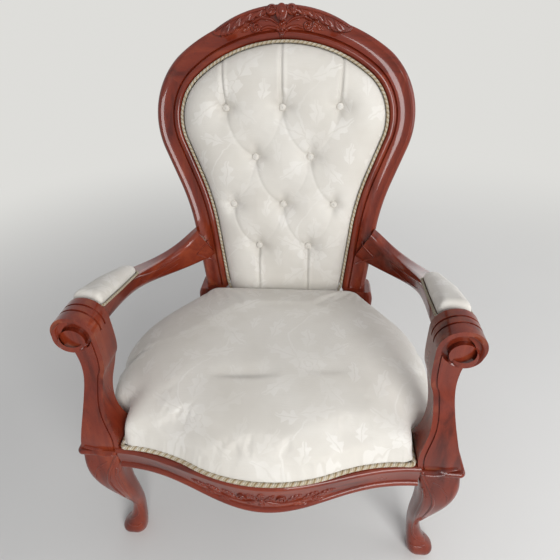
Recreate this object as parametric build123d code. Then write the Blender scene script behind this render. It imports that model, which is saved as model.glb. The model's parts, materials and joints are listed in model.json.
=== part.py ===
"""Show-wood armchair: a spoon-shaped buttoned back, padded scroll arms and a domed seat.

All sizes are millimetres. X runs across the chair, Y from the front to the back and Z up, and
the origin lies on the floor under the middle of the chair. Left and right are as seen from the
front. The pieces of the back are drawn in a leaning frame of their own, with x across the
chair, v up the back and w out of its face. The right-hand pieces are modelled and the left-hand
ones are their mirror images.
"""
import math
import os

from build123d import *

# Seat frame
OVERALL_DEPTH = 714.0         # front of the serpentine rail to the back of the crest
RAIL_TOP = 350.0              # top of the seat rails above the floor
RAIL_HEIGHT = 60.0            # side and back rails
FRONT_BULGE = 54.0            # how far the middle of the front rail stands before its ends
FRONT_RAIL_DEPTH = 46.0       # front to back, at the ends of the front rail
FRONT_RAIL_HEIGHT = 56.0      # at its ends
FRONT_DIP = 26.0              # how far its middle hangs lower than its ends
FRONT_DIP_SPAN = 190.0        # half the length of the hanging part
FRONT_BEAD = 13.0             # height of the bead along its lower edge
FRONT_EDGE = 6.0              # rounded upper edge
FRONT_HOLLOW = 5.0            # how far its face falls back above the bead
SIDE_X = 324.0                # outside of the side rails behind the front legs
SIDE_RAIL_THICKNESS = 28.0
SIDE_ARC_RADIUS = 340.0       # outside of the bend of the side rails
SIDE_RUN = 158.0              # from the corner of the front rail to the bend
SIDE_RAIL_MEET = 4.3          # its outer line at the rear leg, outside the leg's middle
BACK_RAIL_THICKNESS = 28.0
BACK_RAIL_SETBACK = 6.0       # behind the faces of the rear legs
SIDE_RAIL_HOUSING = 3.0       # how far a side rail's end runs past the face of the rear leg

# Front legs
LEG_BLOCK = 70.0              # square block that takes the rails
LEG_INNER_X = 276.0           # face of the block that the front rail butts against
LEG_SETBACK = 4.0             # block behind the face of the front rail's ends
COLLAR_Z = 338.0              # middle of the bead round the top of the leg
COLLAR_HEIGHT = 12.0
COLLAR_OVERHANG = 6.0

# Rear legs
REAR_LEG_X = 187.0            # middle of the top block
REAR_LEG_SETBACK = 21.0       # behind the foot of the back's face
REAR_BLOCK_WIDTH = 68.0
REAR_BLOCK_DEPTH = 62.0
REAR_BLOCK_SWELL = 8.0        # how far the shoulder of the block swells outward
REAR_FOOT_SIZE = 36.0
REAR_FOOT_SPLAY = 16.0        # sideways from the block to the foot
REAR_FOOT_RAKE = 120.0        # backward from the block to the foot
REAR_SABRE = 1.4              # how late the curve of the leg turns back

# Back frame
BACK_TILT = 13.5              # degrees back from upright
BACK_FOOT_Z = 380.0           # foot of the leaning frame
STILE_FOOT_Z = 386.0          # level joint on the rear legs
FRAME_WIDTH = 59.0            # across the moulding
FRAME_THICKNESS = 40.0
REBATE_WIDTH = 12.0           # ledge behind the moulding that takes the upholstery
REBATE_DEPTH = 16.0
BEAD_WIDTH = 16.0             # bead of the moulding, beside the opening
BEAD_EDGE = 8.0               # edge of the bead below the face
QUIRK_WIDTH = 3.0             # groove between the bead and the hollow
QUIRK_DEPTH = 8.5
HOLLOW_DEPTH = 7.5
OUTER_ROUND = 12.0            # width of the rounded outer edge
OUTER_EDGE = 18.0             # its end below the face
BACK_CHAMFER = 5.0
SHOULDER_X = 117.0            # middle of the round shoulder of the opening
SHOULDER_V = 420.0
SHOULDER_RADIUS = 122.0
BACK_TOP_V = 583.0            # top of the opening
SIDE_SLOPE = 20.8             # degrees that the sides of the opening draw in below the shoulder
SIDE_STRAIGHT = 82.0
WAIST_RADIUS = 565.0          # hollow curve from the sides into the waist
FOOT_SLOPE = 7.0              # degrees that the stiles still draw in below the waist
CREST_JOINT_ANGLE = 34.0      # degrees above level, on the shoulder, where crest and stile meet
CREST_OUTER_RADIUS = 391.0    # flatter outer edge over the crest
CREST_OUTER_V = 634.0
BOTTOM_RAIL_HEIGHT = 50.0
BOTTOM_RAIL_THICKNESS = 12.0

# Carved crest
CREST_TOP_V = 649.0           # top of the cartouche
CARTOUCHE_RADIUS = 17.0       # its middle lobe
CARTOUCHE_REACH = 34.0        # its sides from the middle
SPRAY_TOP_V = 647.0           # smooth upper edge of the leaves, behind the cartouche
SPRAY_REACH = 150.0           # tips of the leaves from the middle
SPRAY_FALL = 46.0             # tips below the upper edge
SPRAY_WIDTH = 23.0            # near the tips
SPRAY_NECK = 13.0             # beside the cartouche
SPRAY_TIP = 8.0               # blunt end of the outermost leaves
LEAF_COUNT = 5                # leaves on each side, along the lower edge
LEAF_SWELL = 3.0              # how far each leaf bulges out of that edge
LEAF_RISE = 5.0               # relief above the face of the frame
CARTOUCHE_RISE = 9.0
LEAF_ROUND = 3.0

# Arms and their scrolled posts
SCROLL_X = 311.0              # middle of the scroll
SCROLL_Z = 580.0
SCROLL_RADIUS = 38.0
SCROLL_LEAN = 51.0            # face of the scroll behind the foot of the post
SCROLL_LENGTH = 56.0
SCROLL_RIM = 8.0              # rim round the sunk part of the scroll
SCROLL_SINK = 9.0
SCROLL_EYE_RADIUS = 21.0
SCROLL_GROOVE = 2.0           # depth of the two rings turned round the drum
POST_BASE_WIDTH = 72.0
POST_NECK_WIDTH = 35.0
POST_NECK_Z = 490.0
POST_FLARE = 8.0              # how far the foot of the post runs over the front rail
POST_SETBACK = 5.0            # foot of the post behind the corner of the front rail
POST_DEPTH = 64.0             # at its foot
POST_GAP = 1.5                # between the posts and the seat pad
POST_GROOVE_INSET = 8.0       # groove down the face, from the inner edge
POST_GROOVE_WIDTH = 2.6
POST_GROOVE_DEPTH = 2.5
ARM_ROOT_V = 130.0            # height of the arm's root on the stile, up the back
ARM_ROOT_W = -9.0
ARM_ROOT_SINK = 22.0          # start of the arm inside the line of the stile
ARM_ROOT_FLARE = 48.0         # extra height of the arm where it meets the stile
ARM_HEIGHT = 36.0
ARM_NECK_WIDTH = 38.0
ARM_FRONT_WIDTH = 62.0
ARM_BOW = 71.0
ARM_SAG = 52.0
ARM_ROUND = 11.0

# Upholstery
WEB_WIDTH = 50.0
WEB_THICKNESS = 2.0
WEB_LONG_COUNT = 4            # straps from front to back
WEB_CROSS_COUNT = 4
BACK_WEB_COUNT = 5
SEAT_TOP = 440.0
SEAT_EDGE = 13.0              # from the outside of the rails to the foot of the pad
SEAT_WIDEST = 24.0            # height of its fullest line above its foot
SEAT_DRAW_IN = 8.0            # how far its foot is drawn in from the fullest line
SEAT_SWELL = 5.0              # how far the fullest line stands outside the seat edge
SEAT_CROWN_SIZE = 0.32        # flat crown over the fullest line
SEAT_CROWN_BACK = 270.0       # middle of the crown behind the front of the rail
SEAT_CROWN_STEPS = 14
SEAT_BACK_GAP = 29.0          # from the rear of the pad to the foot of the back's face
SEAT_FRONT_HALF = 262.0       # half width of the pad at the front corners
SEAT_PIPING = 9.5             # diameter
SEAT_PIPING_BEND = 8.0        # radius of its turns round the posts
BACK_CROWN = 25.0             # how far the back pad swells out of its frame
BACK_PAD_FOOT = 1.0           # level foot of the pad above the tops of the rear legs
BACK_PIPING = 8.5
BACK_PIPING_W = -6.0          # seat of the cord beside the pad
BUTTON_RADIUS = 8.0
BUTTON_HEIGHT = 5.5
BUTTON_SEAT_W = 9.0           # bottom of the dimples
DIMPLE_RADIUS = 27.0
PLEAT_HALF_ANGLE = 14.0       # degrees
PLEAT_TOP_FALL = 46.0         # how much lower the outer pleats end than the middle one
BUTTON_ROWS = ((447.0, 128.0, 3), (340.0, 64.0, 2), (229.0, 121.0, 3), (125.0, 61.0, 2))
ARM_PAD_LENGTH = 200.0
ARM_PAD_HEIGHT = 29.0
ARM_PAD_FALL = 2.2            # degrees that the top of the pad falls towards the rear
ARM_PAD_REAR_WIDTH = 34.0
ARM_PIPING = 5.0
OUTSIDE_BACK_THICKNESS = 3.5
DUST_COVER_THICKNESS = 1.2

# Joinery
DOWEL_RADIUS = 5.0
DOWEL_LENGTH = 44.0
DOWEL_END_ROOM = 1.0
FIT = 0.1                     # clearance round dowels and screws
SOFT_FIT = 0.3                # clearance round soft pieces
BLOCK_THICKNESS = 22.0
BLOCK_DROP = 12.0             # top of the blocks below the top of the rails
BLOCK_REACH = 62.0
SCREW_RADIUS = 2.2
SCREW_HEAD_RADIUS = 4.5
SCREW_LENGTH = 34.0
SCREW_GRIP = 15.0             # wood of the block under the head

# Lines that several pieces share
TILT = math.radians(BACK_TILT)
FRONT_Y = -OVERALL_DEPTH / 2
CORNER_Y = FRONT_Y + FRONT_BULGE
BACK_FOOT_Y = OVERALL_DEPTH / 2 - CREST_OUTER_V * math.sin(TILT) - FRAME_THICKNESS * math.cos(TILT)
REAR_LEG_Y = BACK_FOOT_Y + REAR_LEG_SETBACK
REAR_FACE_Y = REAR_LEG_Y - REAR_BLOCK_DEPTH / 2
REAR_INNER_X = REAR_LEG_X - REAR_BLOCK_WIDTH / 2
RAIL_BACK_Y = CORNER_Y + FRONT_RAIL_DEPTH
RAIL_BOTTOM = RAIL_TOP - RAIL_HEIGHT
BACK_RAIL_Y = REAR_FACE_Y + BACK_RAIL_SETBACK
LEG_X = LEG_INNER_X + LEG_BLOCK / 2
LEG_FRONT_Y = CORNER_Y + LEG_SETBACK
LEG_BACK_Y = LEG_FRONT_Y + LEG_BLOCK
LEG_Y = LEG_FRONT_Y + LEG_BLOCK / 2
COLLAR_TOP = COLLAR_Z + COLLAR_HEIGHT / 2
POST_INNER_X = LEG_INNER_X - POST_FLARE
POST_FRONT_Y = CORNER_Y + POST_SETBACK
SCROLL_FRONT_Y = POST_FRONT_Y + SCROLL_LEAN
SCROLL_BACK_Y = SCROLL_FRONT_Y + SCROLL_LENGTH
SEAT_BACK_Y = BACK_FOOT_Y - SEAT_BACK_GAP
WEB_TOP = RAIL_TOP + 2 * WEB_THICKNESS
LEDGE_W = REBATE_DEPTH - FRAME_THICKNESS
BLOCK_Z = RAIL_TOP - BLOCK_DROP - BLOCK_THICKNESS

# The bend of a side rail ends where a line to its place on the rear leg touches the arc
SIDE_ARC_X = SIDE_X - SIDE_ARC_RADIUS
SIDE_ARC_Y = CORNER_Y + SIDE_RUN
SIDE_REACH = Vector(REAR_LEG_X + SIDE_RAIL_MEET - SIDE_ARC_X, REAR_FACE_Y - SIDE_ARC_Y)
SIDE_TURN = math.degrees(
    math.atan2(SIDE_REACH.Y, SIDE_REACH.X) - math.acos(SIDE_ARC_RADIUS / SIDE_REACH.length)
)

BACK_PLANE = Plane(
    origin=(0, BACK_FOOT_Y, BACK_FOOT_Z),
    x_dir=(1, 0, 0),
    z_dir=(0, -math.cos(TILT), math.sin(TILT)),
)


def mirrored(shape):
    """The same piece for the left side of the chair."""
    return mirror(shape, about=Plane.YZ)


def largest(shape):
    """The main solid of a cut, without the scraps that fall off."""
    return max(shape.solids(), key=lambda solid: solid.volume)


def on_back(shape):
    """Set a shape from the frame of the back into the frame of the chair."""
    return BACK_PLANE * shape


def back_point(x, v, w=0.0):
    """A point of the back's frame in the frame of the chair."""
    return BACK_PLANE.from_local_coords(Vector(x, v, w))


def along(point, direction):
    """Plane at a point whose Z runs along a direction."""
    return Plane(origin=point, z_dir=direction)


def rising(radius, height):
    """Cylinder that stands on its own plane."""
    return Cylinder(radius, height, align=(Align.CENTER, Align.CENTER, Align.MIN))


def rounded_section(plane, width, height, radius):
    """A rounded rectangle on a plane, as one face."""
    limit = 0.48 * min(width, height)
    return plane * RectangleRounded(width, height, min(radius, limit))


class BackOutline:
    """Right half of the line inside the back frame, moved into the opening by an inset.

    From the top: a flat arc over the head, the round shoulder, a straight side that draws in,
    the hollow of the waist, and a straight foot.
    """

    def __init__(self, inset=0.0):
        slope = math.radians(SIDE_SLOPE)
        foot = math.radians(FOOT_SLOPE)
        reach = BACK_TOP_V - SHOULDER_RADIUS
        self.head_v = (reach**2 - SHOULDER_X**2 - SHOULDER_V**2) / (2 * (reach - SHOULDER_V))
        self.head_radius = BACK_TOP_V - self.head_v - inset
        self.head_turn = math.degrees(math.atan2(SHOULDER_X, SHOULDER_V - self.head_v))
        self.shoulder = Vector(SHOULDER_X, SHOULDER_V)
        self.shoulder_radius = SHOULDER_RADIUS - inset
        self.side_top = self.shoulder + self.shoulder_radius * Vector(math.cos(slope), -math.sin(slope))
        self.side_foot = self.side_top - SIDE_STRAIGHT * Vector(math.sin(slope), math.cos(slope))
        self.waist_radius = WAIST_RADIUS + inset
        self.waist = self.side_foot + self.waist_radius * Vector(math.cos(slope), -math.sin(slope))
        self.waist_foot = self.waist - self.waist_radius * Vector(math.cos(foot), -math.sin(foot))

    def foot_x(self, v):
        """Half width of the line below the waist, at a height up the back."""
        return self.waist_foot.X + (v - self.waist_foot.Y) * math.tan(math.radians(FOOT_SLOPE))

    def on_shoulder(self, degrees):
        """Point on the shoulder at an angle above level."""
        turn = math.radians(degrees)
        return self.shoulder + self.shoulder_radius * Vector(math.cos(turn), math.sin(turn))

    def head(self):
        """Arc over the head, from the middle to the shoulder."""
        return CenterArc((0, self.head_v), self.head_radius, 90, -self.head_turn)

    def shoulder_arc(self, start, end):
        """Part of the shoulder, between two angles above level."""
        return CenterArc(self.shoulder, self.shoulder_radius, start, end - start)

    def side(self, foot_v):
        """Side, waist and foot, from the shoulder down."""
        waist = CenterArc(self.waist, self.waist_radius, 180 - SIDE_SLOPE, SIDE_SLOPE - FOOT_SLOPE)
        return [
            Line(self.side_top, self.side_foot),
            waist,
            Line(self.waist_foot, Vector(self.foot_x(foot_v), foot_v)),
        ]

    def half(self, foot_v):
        """The whole right half, from the middle of the head to the foot."""
        shoulder = self.shoulder_arc(90 - self.head_turn, -SIDE_SLOPE)
        return [self.head(), shoulder, *self.side(foot_v)]

    def face(self, foot_v):
        """The opening as a face, closed by a level line at the foot."""
        half = self.half(foot_v)
        foot = Line((-self.foot_x(foot_v), foot_v), (self.foot_x(foot_v), foot_v))
        return make_face([*half, foot, *[mirrored(edge) for edge in half]])


def frame_section(plane):
    """Moulding of the back frame: s runs out from the opening, w to the front."""
    back = -FRAME_THICKNESS
    quirk = BEAD_WIDTH + QUIRK_WIDTH
    bead_foot = (BEAD_WIDTH, -0.75 * BEAD_EDGE)
    lip = (quirk, -0.6 * QUIRK_DEPTH)
    arris = (FRAME_WIDTH - OUTER_ROUND, -0.5 * HOLLOW_DEPTH)
    edge = (FRAME_WIDTH, -OUTER_EDGE)
    hollow = ((quirk + arris[0]) / 2, -HOLLOW_DEPTH)
    swell = (FRAME_WIDTH - 0.3 * OUTER_ROUND, -0.45 * OUTER_EDGE)
    outline = [
        Polyline((REBATE_WIDTH, back), (REBATE_WIDTH, LEDGE_W), (0, LEDGE_W), (0, -BEAD_EDGE)),
        ThreePointArc((0, -BEAD_EDGE), (BEAD_WIDTH / 2, 0), bead_foot),
        Polyline(bead_foot, (BEAD_WIDTH + QUIRK_WIDTH / 2, -QUIRK_DEPTH), lip),
        ThreePointArc(lip, hollow, arris),
        ThreePointArc(arris, swell, edge),
        Polyline(
            edge,
            (FRAME_WIDTH, back + BACK_CHAMFER),
            (FRAME_WIDTH - BACK_CHAMFER, back),
            (REBATE_WIDTH, back),
        ),
    ]
    return plane * make_face(outline)


def crest_joint_plane():
    """Plane of the joint between the right stile and the crest rail, looking down the stile."""
    turn = math.radians(CREST_JOINT_ANGLE)
    return Plane(
        origin=BackOutline().on_shoulder(CREST_JOINT_ANGLE),
        x_dir=(math.cos(turn), math.sin(turn), 0),
        z_dir=(math.sin(turn), -math.cos(turn), 0),
    )


def back_stile():
    """Right stile: the moulding swept from the crest joint to a level foot on the rear leg."""
    line = BackOutline()
    below_foot = -60.0
    edges = [line.shoulder_arc(CREST_JOINT_ANGLE, -SIDE_SLOPE), *line.side(below_foot)]
    path = Wire([edge.edge() for edge in edges])
    stile = on_back(sweep(frame_section(crest_joint_plane()), path))
    room = OVERALL_DEPTH
    return largest(stile - Pos(0, 0, STILE_FOOT_Z - room / 2) * Box(2 * room, 2 * room, room))


def carved_lobe(x, v, size, turn, rise):
    """One rounded lobe of the carving, standing on the crest rail."""
    depth = rise + FRAME_THICKNESS / 2
    lobe = extrude(Ellipse(*size), depth)
    lobe = fillet(lobe.edges().group_by(Axis.Z)[-1], LEAF_ROUND)
    return Pos(x, v, rise - depth) * Rot(0, 0, turn) * lobe


def cartouche():
    """Three-lobed cartouche in the middle of the crest."""
    middle_v = CREST_TOP_V - CARTOUCHE_RADIUS
    lobes = [carved_lobe(0, middle_v, (0.75 * CARTOUCHE_RADIUS, CARTOUCHE_RADIUS), 0, CARTOUCHE_RISE)]
    size = (0.75 * CARTOUCHE_RADIUS, 0.62 * CARTOUCHE_RADIUS)
    for side in (-1, 1):
        cheek = (side * (CARTOUCHE_REACH - size[0]), CREST_TOP_V - 1.1 * size[1])
        lobes.append(carved_lobe(*cheek, size, -12 * side, 0.8 * CARTOUCHE_RISE))
    return lobes


def leaf_spray():
    """Leaves on both sides of the cartouche: a smooth upper edge and a scalloped lower one."""
    radius = (SPRAY_REACH**2 + SPRAY_FALL**2) / (2 * SPRAY_FALL)

    def place(turn, inset):
        """Place on the spray at an angle from the middle, a distance in from its upper edge."""
        reach = radius - inset
        return Vector(reach * math.sin(turn), SPRAY_TOP_V - radius + reach * math.cos(turn))

    tip_turn = math.asin(SPRAY_REACH / radius)
    neck_turn = math.asin(CARTOUCHE_REACH / radius)
    step = (neck_turn - tip_turn) / LEAF_COUNT
    leaves = []
    turn, inset = tip_turn, SPRAY_TIP
    for index in range(LEAF_COUNT):
        after = SPRAY_WIDTH + index / (LEAF_COUNT - 1) * (SPRAY_NECK - SPRAY_WIDTH)
        swell = place(turn + step / 2, (inset + after) / 2 + LEAF_SWELL)
        leaves.append(ThreePointArc(place(turn, inset), swell, place(turn + step, after)))
        turn, inset = turn + step, after
    neck = place(turn, inset)
    upper = ThreePointArc(place(-tip_turn, 0), place(0, 0), place(tip_turn, 0))
    half = [Line(place(tip_turn, 0), place(tip_turn, SPRAY_TIP)), *leaves]
    lower = [*half, Line(neck, (-neck.X, neck.Y)), *[mirrored(edge) for edge in half]]
    depth = LEAF_RISE + FRAME_THICKNESS / 2
    spray = extrude(make_face([upper, *lower]), depth)
    spray = fillet(spray.edges().group_by(Axis.Z)[-1].sort_by(Axis.Y)[-1], LEAF_ROUND)
    return Pos(0, 0, LEAF_RISE - depth) * spray


def crest_rail():
    """Crest rail: the moulding over the head, flattened on its outer edge, with its carving."""
    line = BackOutline()
    joint = crest_joint_plane()
    right = [line.head(), line.shoulder_arc(90 - line.head_turn, CREST_JOINT_ANGLE)]
    path = Wire([edge.edge() for edge in [mirrored(right[1]), mirrored(right[0]), *right]])
    start = Plane(
        origin=(-joint.origin.X, joint.origin.Y, 0),
        x_dir=(-joint.x_dir.X, joint.x_dir.Y, 0),
        z_dir=(joint.z_dir.X, -joint.z_dir.Y, 0),
    )
    rail = sweep(frame_section(start), path)
    centre_v = CREST_OUTER_V - CREST_OUTER_RADIUS
    rail = rail & Pos(0, centre_v, 0) * Cylinder(CREST_OUTER_RADIUS, 4 * FRAME_THICKNESS)
    for carved in [leaf_spray(), *cartouche()]:
        rail += carved
    return largest(on_back(rail))


def bottom_rail_foot():
    """Height up the back at which the rebate clears the tops of the rear legs."""
    return (STILE_FOOT_Z - BACK_FOOT_Z) / math.cos(TILT) + FRAME_THICKNESS * math.tan(TILT)


def back_bottom_rail():
    """Hidden rail lapped into the rebates of both stiles, behind the back pad."""
    lap = BackOutline(SOFT_FIT - REBATE_WIDTH)
    low = bottom_rail_foot()
    high = low + BOTTOM_RAIL_HEIGHT
    corners = [
        (-lap.foot_x(low), low),
        (lap.foot_x(low), low),
        (lap.foot_x(high), high),
        (-lap.foot_x(high), high),
    ]
    face = make_face(Polyline(*corners, close=True))
    return on_back(Pos(0, 0, LEDGE_W) * extrude(face, -BOTTOM_RAIL_THICKNESS))


def rear_leg():
    """Right rear leg: a swelling block under the stile, then a sabre curve to the foot."""
    swell = REAR_BLOCK_SWELL
    block_foot = RAIL_BOTTOM - 10.0
    sections = [
        (STILE_FOOT_Z, 0.0, 0.0, REAR_BLOCK_WIDTH, REAR_BLOCK_DEPTH),
        (STILE_FOOT_Z - 30, swell / 2, 0.0, REAR_BLOCK_WIDTH + swell, REAR_BLOCK_DEPTH),
        (RAIL_BOTTOM + 10, 0.0, 0.0, REAR_BLOCK_WIDTH, REAR_BLOCK_DEPTH),
    ]
    for share in (0.25, 0.5, 0.75, 1.0):
        bend = share**REAR_SABRE
        slim = (1 - share) ** 2
        sections.append(
            (
                block_foot * (1 - share),
                REAR_FOOT_SPLAY * bend,
                REAR_FOOT_RAKE * bend,
                REAR_FOOT_SIZE + (REAR_BLOCK_WIDTH - REAR_FOOT_SIZE) * slim,
                REAR_FOOT_SIZE + (REAR_BLOCK_DEPTH - REAR_FOOT_SIZE) * slim,
            )
        )
    faces = []
    for z, out, back, width, depth in sections:
        plane = Plane((REAR_LEG_X + out, REAR_LEG_Y + back, z))
        faces.append(rounded_section(plane, width, depth, REAR_BLOCK_SWELL))
    return largest(loft(faces))


def serpentine(x, half, bulge):
    """How far a serpentine front stands before its ends, at a distance from the middle."""
    if abs(x) >= half:
        return 0.0
    return bulge * math.cos(math.pi * x / (2 * half)) ** 2


def front_rail():
    """Serpentine front rail: a moulded section lofted along the chair, with a dipping lower edge."""
    stations = 13
    back = RAIL_BACK_Y
    sections = []
    for index in range(stations):
        x = LEG_INNER_X * (2 * index / (stations - 1) - 1)
        face_y = CORNER_Y - serpentine(x, LEG_INNER_X, FRONT_BULGE)
        low = RAIL_TOP - FRONT_RAIL_HEIGHT - serpentine(x, FRONT_DIP_SPAN, FRONT_DIP)
        bead = low + FRONT_BEAD
        shoulder = (face_y + FRONT_EDGE, RAIL_TOP)
        face_top = (face_y, RAIL_TOP - FRONT_EDGE)
        face_foot = (face_y + FRONT_HOLLOW, bead)
        bead_foot = (face_y + FRONT_EDGE, low)
        round_point = (face_y + 0.3 * FRONT_EDGE, RAIL_TOP - 0.3 * FRONT_EDGE)
        face_middle = (face_y + 0.6 * FRONT_HOLLOW, (RAIL_TOP + bead) / 2)
        bead_middle = (face_y + 0.1 * FRONT_HOLLOW, low + FRONT_BEAD / 2)
        outline = [
            ThreePointArc(shoulder, round_point, face_top),
            ThreePointArc(face_top, face_middle, face_foot),
            ThreePointArc(face_foot, bead_middle, bead_foot),
            Polyline(bead_foot, (back, low), (back, RAIL_TOP), shoulder),
        ]
        plane = Plane(origin=(x, 0, 0), x_dir=(0, 1, 0), z_dir=(1, 0, 0))
        sections.append(plane * make_face(outline))
    return largest(loft(sections))


def side_line(inset, end_y):
    """Corners of the line of the right side rail, moved in from its outside by an inset.

    Gives the start of the bend, a point on it, its end, and the rear end at a place along
    the chair.
    """
    radius = SIDE_ARC_RADIUS - inset

    def on_arc(degrees):
        turn = math.radians(degrees)
        return (SIDE_ARC_X + radius * math.cos(turn), SIDE_ARC_Y + radius * math.sin(turn))

    bend_end = on_arc(SIDE_TURN)
    rear_x = bend_end[0] - (end_y - bend_end[1]) * math.tan(math.radians(SIDE_TURN))
    return on_arc(0), on_arc(SIDE_TURN / 2), bend_end, (rear_x, end_y)


def side_rail():
    """Right side rail: bent in plan, from the front leg's block to the rear leg."""
    rear = REAR_FACE_Y + SIDE_RAIL_HOUSING
    outer = side_line(0, rear)
    inner = side_line(SIDE_RAIL_THICKNESS, rear)
    face = make_face(
        [
            Line((outer[0][0], LEG_BACK_Y), outer[0]),
            ThreePointArc(*outer[:3]),
            Line(outer[2], outer[3]),
            Line(outer[3], inner[3]),
            Line(inner[3], inner[2]),
            ThreePointArc(inner[2], inner[1], inner[0]),
            Line(inner[0], (inner[0][0], LEG_BACK_Y)),
            Line((inner[0][0], LEG_BACK_Y), (outer[0][0], LEG_BACK_Y)),
        ]
    )
    return Pos(0, 0, RAIL_BOTTOM) * extrude(face, RAIL_HEIGHT)


def back_rail():
    """Seat rail between the rear legs."""
    rail = Box(2 * REAR_LEG_X, BACK_RAIL_THICKNESS, RAIL_HEIGHT)
    return Pos(0, BACK_RAIL_Y + BACK_RAIL_THICKNESS / 2, RAIL_BOTTOM + RAIL_HEIGHT / 2) * rail


def front_leg():
    """Right cabriole leg: a collared block, a full knee, a slim ankle and a toe turned out."""
    top = COLLAR_TOP
    sections = [
        (top, 0.0, 0.0, LEG_BLOCK, LEG_BLOCK, 5.0),
        (0.87 * top, 4.0, -4.0, LEG_BLOCK + 2, LEG_BLOCK + 2, 12.0),
        (0.76 * top, 6.0, -11.0, LEG_BLOCK - 4, LEG_BLOCK - 2, 20.0),
        (0.64 * top, 1.0, -13.0, 52.0, 56.0, 20.0),
        (0.51 * top, -6.0, -8.0, 40.0, 44.0, 17.0),
        (0.38 * top, -9.0, 1.0, 31.0, 34.0, 14.0),
        (0.27 * top, -8.0, 6.0, 27.0, 29.0, 12.5),
        (0.18 * top, -3.0, 4.0, 31.0, 33.0, 14.0),
        (0.09 * top, 7.0, -1.0, 46.0, 42.0, 19.0),
        (0.04 * top, 14.0, -3.0, 55.0, 46.0, 21.0),
        (0.0, 13.0, -2.0, 46.0, 38.0, 17.0),
    ]
    faces = []
    for z, out, back, width, depth, radius in sections:
        faces.append(rounded_section(Plane((LEG_X + out, LEG_Y + back, z)), width, depth, radius))
    leg = loft(faces)
    size = LEG_BLOCK + 2 * COLLAR_OVERHANG
    collar = extrude(RectangleRounded(size, size, COLLAR_OVERHANG + 4), COLLAR_HEIGHT)
    levels = collar.edges().group_by(Axis.Z)
    collar = fillet(levels[0] + levels[-1], 0.45 * COLLAR_HEIGHT)
    collar = Pos(LEG_X, LEG_Y, COLLAR_TOP - COLLAR_HEIGHT) * collar
    trim = Pos(LEG_INNER_X + size, LEG_BACK_Y - size, COLLAR_Z) * Box(2 * size, 2 * size, 2 * COLLAR_HEIGHT)
    return largest(leg + (collar & trim))


def post_inner_line(shift=0.0):
    """Inner edge of the post in front view, from its foot to the scroll."""
    inner = LEG_INNER_X
    neck = SCROLL_X - SCROLL_RADIUS + 8.0
    return [
        (inner - POST_FLARE / 2 + shift, COLLAR_TOP),
        (inner - POST_FLARE + shift, COLLAR_TOP + 24),
        (inner + 2 + shift, COLLAR_TOP + 70),
        (neck + 2 + shift, COLLAR_TOP + 100),
        (neck + shift, POST_NECK_Z),
        (SCROLL_X - SCROLL_RADIUS + shift, SCROLL_Z),
    ]


def post_side(shift=0.0):
    """Side view of the post, leaning back from its foot to the scroll, as a block across it."""
    front = SCROLL_FRONT_Y
    back = SCROLL_BACK_Y
    top = SCROLL_Z + 2 * SCROLL_RADIUS
    level = SCROLL_Z - SCROLL_RADIUS
    foot_back = POST_FRONT_Y + POST_DEPTH
    face_line = Spline(
        (POST_FRONT_Y, COLLAR_TOP),
        (POST_FRONT_Y + 6, COLLAR_TOP + 50),
        ((POST_FRONT_Y + front) / 2 + 4, (COLLAR_TOP + level) / 2 + 16),
        (front, level),
        tangents=((0, 1), (0, 1)),
    )
    back_line = Spline(
        (foot_back, COLLAR_TOP),
        (foot_back - 10, COLLAR_TOP + 50),
        ((foot_back + back) / 2 - 12, (COLLAR_TOP + level) / 2 + 16),
        (back, level),
        tangents=((0, 1), (0, 1)),
    )
    outline = [
        face_line,
        Polyline((front, level), (front, top), (back, top), (back, level)),
        back_line,
        Line((foot_back, COLLAR_TOP), (POST_FRONT_Y, COLLAR_TOP)),
    ]
    plane = Plane(origin=(0, shift, 0), x_dir=(0, 1, 0), z_dir=(1, 0, 0))
    return extrude(plane * make_face(outline), 2 * SCROLL_X)


def across_front(outline):
    """A front-view outline as a block that runs through the post from front to back."""
    plane = Plane(origin=(0, CORNER_Y - FRONT_BULGE, 0), x_dir=(1, 0, 0), z_dir=(0, -1, 0))
    return extrude(plane * make_face(outline), -OVERALL_DEPTH / 2)


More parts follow.
